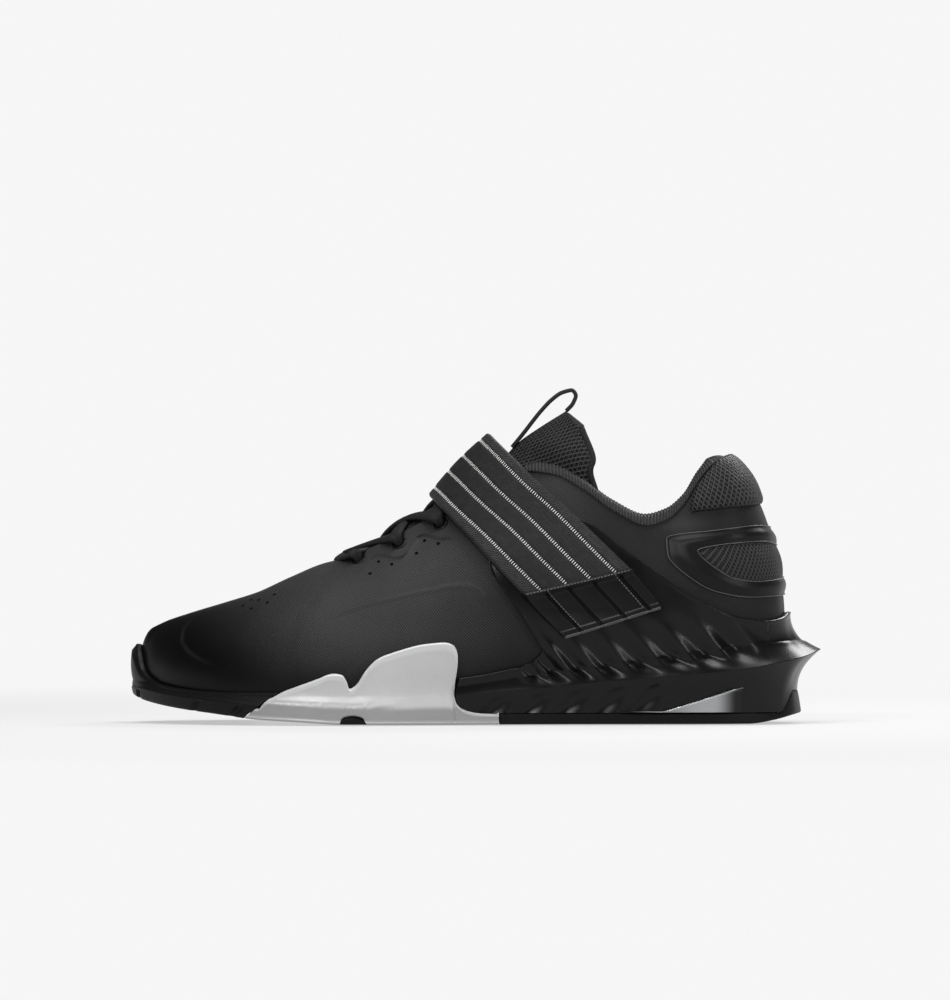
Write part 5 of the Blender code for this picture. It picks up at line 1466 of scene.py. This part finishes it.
def build_pull_loop():
    route = Table("t x z", PULL_ROUTE)
    t = np.linspace(0.0, 1.0, 140)
    path = np.stack([route.read("x", t), np.zeros_like(t), route.read("z", t)], axis=-1)
    run = unit(np.gradient(path, axis=0))
    across = np.tile(np.array([0.0, 1.0, 0.0]), (len(t), 1))
    up = np.cross(run, across)
    sweep("pull_loop", path, across, up, rounded(6.0, 1.8, 16, 4.0), LOOKS["tape"],
          ("tongue_pull_loop",))
    foot = tongue_point(1.0, 0.0, 0.1)
    boxes("loop_tack", foot[None] + np.array([[0.4, 0.0, -0.6]]), [[0.6, 0.0, 0.8]], [[0.0, 1.0, 0.0]],
          [[-0.8, 0.0, 0.6]], (3.6, 7.0, 1.0), LOOKS["tape"])


PULL_ROUTE = [
    (0.0, 16.25, 118.9), (0.12, 20.6, 124.2), (0.34, 28.8, 134.6), (0.52, 33.6, 139.6), (0.66, 38.0, 142.6),
    (0.78, 42.0, 143.6), (0.88, 43.9, 141.2), (0.95, 42.6, 137.8), (1.0, 39.7, 134.6),
]


# Strap

def strap_grid(rows, columns):
    """Underside of the strap as a grid, with its normals."""
    front, rear = strap_edges()
    keys = np.linspace(0.0, 1.0, len(front))
    t = np.linspace(0.0, 1.0, rows)
    front = np.stack([Curve(keys, front[:, axis])(t) for axis in range(3)], axis=-1)
    rear = np.stack([Curve(keys, rear[:, axis])(t) for axis in range(3)], axis=-1)
    shares = np.linspace(0.0, 1.0, columns)
    under = front[:, None] + (rear - front)[:, None] * shares[None, :, None]
    normal = grid_normals(under)
    if normal[len(normal) // 2, columns // 2, 2] < 0:
        normal = -normal
    crown = 1.2 * np.sin(math.pi * shares)[None, :, None]
    return under + normal * crown, normal, t, shares


DASHES = ((0.158, 0.116), (0.395, 0.362), (0.613, 0.607), (0.850, 0.871))


def build_strap():
    """Woven strap with its four lines of pale dashes."""
    rows, columns = ((360, 90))
    under, normal, t, shares = strap_grid(rows, columns)
    edge = np.sqrt(np.clip(np.minimum(shares, 1.0 - shares) / 0.022, 0.0, 1.0))[None, :, None]
    ripple = np.zeros((rows, columns))
    for low, high in DASHES:
        at = low + (high - low) * blend(0.0, 0.45, t)[:, None]
        ripple = ripple - 0.4 * np.exp(-((shares[None, :] - at) / 0.022) ** 2)
    face = under + normal * (STRAP_THICKNESS * (0.45 + 0.55 * edge) + ripple[..., None] * edge)
    outside = 1.0 - blend(0.10, 0.13, shares) * (1.0 - blend(0.88, 0.91, shares))
    tone = np.broadcast_to(outside[None, :], (rows, columns))
    grid = np.concatenate([under[:, :1], face, under[:, ::-1]], axis=1)
    weave = np.concatenate([lengths(face)[:, :1], lengths(face), lengths(face)[:, ::-1]], axis=1)
    tone = np.concatenate([tone[:, :1], tone, tone[:, ::-1]], axis=1)
    faces = quads(*grid.shape[:2], wrap_columns=True)
    piece("strap_webbing", grid, faces, LOOKS["webbing"], ("strap",), uv=weave, tone=tone)
    middles, along, across, ups = [], [], [], []
    for low, high in DASHES:
        at = low + (high - low) * blend(0.0, 0.45, t)
        cell = at * (columns - 1)
        base = np.floor(cell).astype(int)
        part = (cell - base)[:, None]
        line = face[np.arange(rows), base] * (1 - part) + face[np.arange(rows), base + 1] * part
        rise = normal[np.arange(rows), base]
        places, run = walk(line, TICK_PITCH)
        length = run_length(line)
        steps = np.arange(0.5 * TICK_PITCH, length[-1], TICK_PITCH)
        up = unit(values_at(steps, length, rise))
        middles.append(places + up * 0.06)
        along.append(run)
        ups.append(up)
        across.append(np.cross(up, run))
    boxes("strap_dashes", np.concatenate(middles), np.concatenate(along), np.concatenate(across),
          np.concatenate(ups), TICK_SIZE, LOOKS["dash"])


GROOVES = (0.19, 0.395, 0.625, 0.865)


def tip_grid(rows, columns):
    """Underside of the strap's patch, over the midfoot cage."""
    t = np.linspace(-0.05, 1.0, rows)
    shares = np.linspace(0.0, 1.0, columns)
    places, normals = np.zeros((rows, columns, 3)), np.zeros((rows, columns, 3))
    for index, at in enumerate(t):
        names = ("front_x", "front_z", "rear_x", "rear_z")
        a = [float(STRAP_TIP.read(name, max(at, 0.01))) for name in names]
        if at < 0.01:
            inward = [float(STRAP_TIP.read(name, 0.11)) for name in names]
            a = [here + (here - ahead) * (0.01 - at) / 0.1 for here, ahead in zip(a, inward)]
        x = a[0] + (a[2] - a[0]) * shares
        z = a[1] + (a[3] - a[1]) * shares
        lift = 3.5 + 3.2 * (1.0 - blend(38.0, 50.0, z)) + 2.2 * (1.0 - blend(-0.02, 0.12, at))
        marks = np.linspace(0, columns - 1, 9).astype(int)
        s = np.interp(np.arange(columns), marks, [station(-1, x[mark], z[mark]) for mark in marks])
        places[index] = skin(-s, z, lift)
        normals[index] = wall_normal(-s, share_at(-s, z))
    return places, normals, t, shares


def build_strap_tip():
    """Moulded patch at the strap's end: grooves, stitches and a lip."""
    rows, columns = ((70, 150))
    under, normal, t, shares = tip_grid(rows, columns)
    groove = np.zeros((rows, columns))
    for middle in GROOVES:
        cut = 1.1 * np.exp(-((shares[None, :] - middle) / 0.014) ** 2)
        groove = groove - cut * blend(0.03, 0.10, t)[:, None]
    step = 0.45 * blend(0.86, 0.9, t)[:, None]
    from_sides = np.minimum(shares, 1.0 - shares)[None, :] / 0.02
    from_ends = np.minimum(t + 0.05, 1.02 - t)[:, None] / 0.06
    rim = np.sqrt(np.clip(np.minimum(from_sides, from_ends), 0.0, 1.0))
    thick = STRAP_THICKNESS + 0.2
    puffs = 0.3 * np.sin(math.pi * np.clip((shares[None, :] - 0.19) / 0.225 % 1.0, 0.0, 1.0))
    height = thick * (0.5 + 0.5 * rim) + (groove + puffs * 0.6) * rim + step * rim
    face = under + normal * height[..., None]
    closed_pad("strap_patch", face, under, "satin", ("strap_tip",))
    lines = []
    for middle in (GROOVES[0] + 0.028, GROOVES[3] - 0.028):
        column = int(middle * (columns - 1))
        lines.append(face[4:-8, column] + normal[4:-8, column] * 0.08)
    lines.append(face[3, 3:-3] + normal[3, 3:-3] * 0.1)
    for index, line in enumerate(lines):
        places, run = walk(line, 1.5)
        rise = np.broadcast_to(unit(normal[rows // 2, columns // 2]), places.shape)
        boxes("patch_stitch_%d" % index, places, run, np.cross(rise, run), rise, (1.0, 0.45, 0.22),
              LOOKS["stitch"])
    lip = face[-2, 2:-2] + normal[-2, 2:-2] * 0.1
    places, run = walk(lip, 1.0)
    rise = np.broadcast_to(unit(normal[-1, columns // 2]), places.shape)
    across = np.cross(run, rise)
    sweep("patch_lip", places - np.array([0.0, 0.0, 0.4]), across, rise, rounded(1.3, 1.1, 12, 3.0),
          LOOKS["lip"])


# Laces

def lace_path(start, end, height, bow=0.0, steps=64):
    """Centre of one lace from hole to hole, over the tongue, with the way its face looks."""
    lift = LACE_THICKNESS / 2.0 + 2.8
    lean = np.array([-0.35, 0.0, 1.0])
    t = np.linspace(0.0, 1.0, steps)[:, None]
    a, b = start[0] + start[1] * lift, end[0] + end[1] * lift
    arch = np.sin(math.pi * t) ** 0.75
    path = a + (b - a) * t + (lean * height - np.array([bow, 0.0, 0.0])) * arch
    up = start[1] * (1.0 - t) ** 2 + end[1] * t ** 2 + lean * 3.0 * t * (1.0 - t)
    head = [start[0] + start[1] * d for d in (-2.4, -0.6, 0.9, 2.2, 3.3)]
    tail = [end[0] + end[1] * d for d in (3.3, 2.2, 0.9, -0.6, -2.4)]
    path = np.concatenate([head, path[1:-1], tail])
    for _ in range(6):
        path[1:-1] = 0.25 * path[:-2] + 0.5 * path[1:-1] + 0.25 * path[2:]
    toward = unit(b - a)
    up = np.concatenate([np.repeat([-toward * 0.9 + start[1] * 0.4], 5, axis=0), up[1:-1],
                         np.repeat([toward * 0.9 + end[1] * 0.4], 5, axis=0)])
    for _ in range(10):
        up[1:-1] = 0.25 * up[:-2] + 0.5 * up[1:-1] + 0.25 * up[2:]
    return path, up


def build_laces():
    """All the visible laces as one piece."""
    count = len(EYELET_X_OUTER)
    outer, inner = EYELETS[:count], EYELETS[count:]
    runs = [(outer[0], inner[0], -2.6, 5.0)]
    for row, (low, high) in enumerate(((-1.0, 0.6), (3.4, 4.8), (6.0, 7.0))):
        runs.append((outer[row], inner[row + 1], low, 0.0))
        runs.append((inner[row], outer[row + 1], high, 0.0))
    points, faces = [], []
    total = 0
    for start, end, height, bow in runs:
        path, up = lace_path(start, end, height, bow)
        length = run_length(path)
        at = np.linspace(0.0, length[-1], 240)
        path, up = values_at(at, length, path), values_at(at, length, up)
        run = unit(np.gradient(path, axis=0))
        up = unit(up - run * np.sum(up * run, axis=-1, keepdims=True))
        across = np.cross(run, up)
        ends = blend(0.0, 9.0, at) * blend(0.0, 9.0, length[-1] - at)
        rib = 1.0 + 0.05 * np.cos(2.0 * math.pi * at / 0.9)
        profile = rounded(1.0, 1.0, 18, 2.3)
        wide = (LACE_WIDTH * (0.58 + 0.42 * ends) * (0.5 * rib + 0.5))[:, None, None]
        thick = (LACE_THICKNESS * (1.15 - 0.15 * ends) * rib)[:, None, None]
        grid = path[:, None, :] + across[:, None, :] * profile[None, :, :1] * wide \
            + up[:, None, :] * profile[None, :, 1:] * thick
        points.append(grid.reshape(-1, 3))
        faces += [tuple(face) for face in quads(len(path), len(profile), wrap_columns=True) + total]
        total += len(path) * len(profile)
    piece("lace_runs", np.concatenate(points), faces, LOOKS["lace"], ("laces",))


def build_insole():
    """Soft footbed, dished along its middle, with its rim rounded over."""
    face, back = [], []
    for s in np.linspace(0.004, 0.996, 80):
        bed = float(SECTIONS.read("base_z", s))
        inset = -(UPPER_WALL + 0.5)
        dish = 0.8 * float(blend(0.0, 0.1, s) * (1.0 - blend(0.9, 1.0, s)))
        centre = float(outline(s)[1] + outline(-s)[1]) / 2.0
        row, under = [], []
        for reach in np.linspace(-1.0, 1.0, 25):
            side = -1 if reach < 0 else 1
            edge = place_path([(side * s, bed + INSOLE, inset - 0.4)])[0]
            middle = np.array([edge[0], centre, edge[2] - dish])
            top = middle + (edge - middle) * abs(reach)
            rim = 0.9 * abs(reach) ** 10
            row.append(top + np.array([0.0, 0.0, 0.15 - rim]))
            under.append(top - np.array([0.0, 0.0, INSOLE - 0.2]))
        face.append(row)
        back.append(under)
    closed_pad("insole_pad", np.array(face), np.array(back), "lining", ("insole",))


# Surroundings

def backdrop():
    """Pale floor that shows a soft contact shadow near the shoe and fades into the pale surround."""
    floor = bpy.data.objects.new("studio_floor", bpy.data.meshes.new("studio_floor"))
    span = 14.0
    corners = [(-span, -span, 0.0), (span, -span, 0.0), (span, span, 0.0), (-span, span, 0.0)]
    floor.data.from_pydata(corners, [], [(0, 1, 2, 3)])
    bpy.context.scene.collection.objects.link(floor)
    floor.location.z = -0.0004
    look = Look("studio_floor", (0.0, 0.0, 0.0), 0.9, 0.0)
    length = look.node("ShaderNodeVectorMath", Vector=look.object_place())
    length.operation = "LENGTH"
    far = look.ramp(length.outputs["Value"], 0.2, 0.75)
    glow = look.node("ShaderNodeMapRange", Value=far, To_Min=FLOOR_GLOW, To_Max=SURROUND)
    look.set("Base Color", look.mix(far, (FLOOR_ALBEDO, FLOOR_ALBEDO, FLOOR_ALBEDO), (0.0, 0.0, 0.0)))
    look.set("Emission Strength", glow.outputs["Result"])
    look.set("Emission Color", (1.0, 1.0, 1.0, 1.0))
    floor.data.materials.append(look.material)
    world = bpy.data.worlds.new("studio")
    bpy.context.scene.world = world
    world.use_nodes = True
    tree = world.node_tree
    sky = next(node for node in tree.nodes if node.type == "BACKGROUND")
    place = tree.nodes.new("ShaderNodeTexCoord")
    split = tree.nodes.new("ShaderNodeSeparateXYZ")
    tree.links.new(place.outputs["Generated"], split.inputs["Vector"])
    fall = tree.nodes.new("ShaderNodeMapRange")
    fall.interpolation_type = "SMOOTHSTEP"
    for name, value in (("From Min", 0.06), ("From Max", 0.36), ("To Min", SURROUND), ("To Max", ZENITH)):
        fall.inputs[name].default_value = value
    tree.links.new(split.outputs["Z"], fall.inputs["Value"])
    sky.inputs["Color"].default_value = (1.0, 1.0, 1.0, 1.0)
    tree.links.new(fall.outputs["Result"], sky.inputs["Strength"])


SURROUND = 0.925           # the pale surround, as the picture shows it
ZENITH = 0.10
FLOOR_ALBEDO = 0.30
FLOOR_GLOW = 0.505


def area_light(name, place, target, size, power):
    data = bpy.data.lights.new(name, "AREA")
    data.shape = "RECTANGLE"
    data.size, data.size_y = size
    data.energy = power
    light = bpy.data.objects.new(name, data)
    bpy.context.scene.collection.objects.link(light)
    light.location = place
    from_light = Vector(target) - Vector(place)
    light.rotation_mode = "QUATERNION"
    light.rotation_quaternion = from_light.to_track_quat("-Z", "Y")


def lights():
    area_light("top_strip", (0.05, -0.10, 0.90), (0.0, 0.0, 0.05), (0.9, 0.22), 7.0)
    area_light("front_strip", (-0.35, -0.95, 0.80), (-0.02, 0.0, 0.05), (0.60, 0.10), 5.0)
    area_light("back_box", (0.45, 0.60, 0.60), (0.05, 0.0, 0.08), (0.6, 0.2), 4.5)
    area_light("heel_strip", (0.62, -0.50, 0.42), (0.1, -0.03, 0.04), (0.05, 0.5), 1.6)


def camera():
    data = bpy.data.cameras.new("picture")
    data.lens, data.sensor_width = LENS, SENSOR
    distance = LENS / SENSOR * FRAME * MM
    tilt = math.radians(CAMERA_TILT)
    eye = bpy.data.objects.new("picture", data)
    bpy.context.scene.collection.objects.link(eye)
    eye.location = (AIM_X * MM, -distance * math.cos(tilt), AIM_Z * MM + distance * math.sin(tilt))
    eye.rotation_euler = (math.radians(90.0) - tilt, 0.0, 0.0)
    data.clip_start, data.clip_end = 0.05, 60.0
    bpy.context.scene.camera = eye


EYELETS = eyelet_places()

build_upper()
build_holes()
build_midsole()
build_rubber()
build_notch_plugs()
build_heel_plates()
build_binding()
build_heel_tab()
build_heel_frame()
build_tongue()
build_pull_loop()
build_strap()
build_strap_tip()
build_laces()
build_insole()
backdrop()
lights()
camera()
bpy.context.scene.view_settings.view_transform = "Standard"
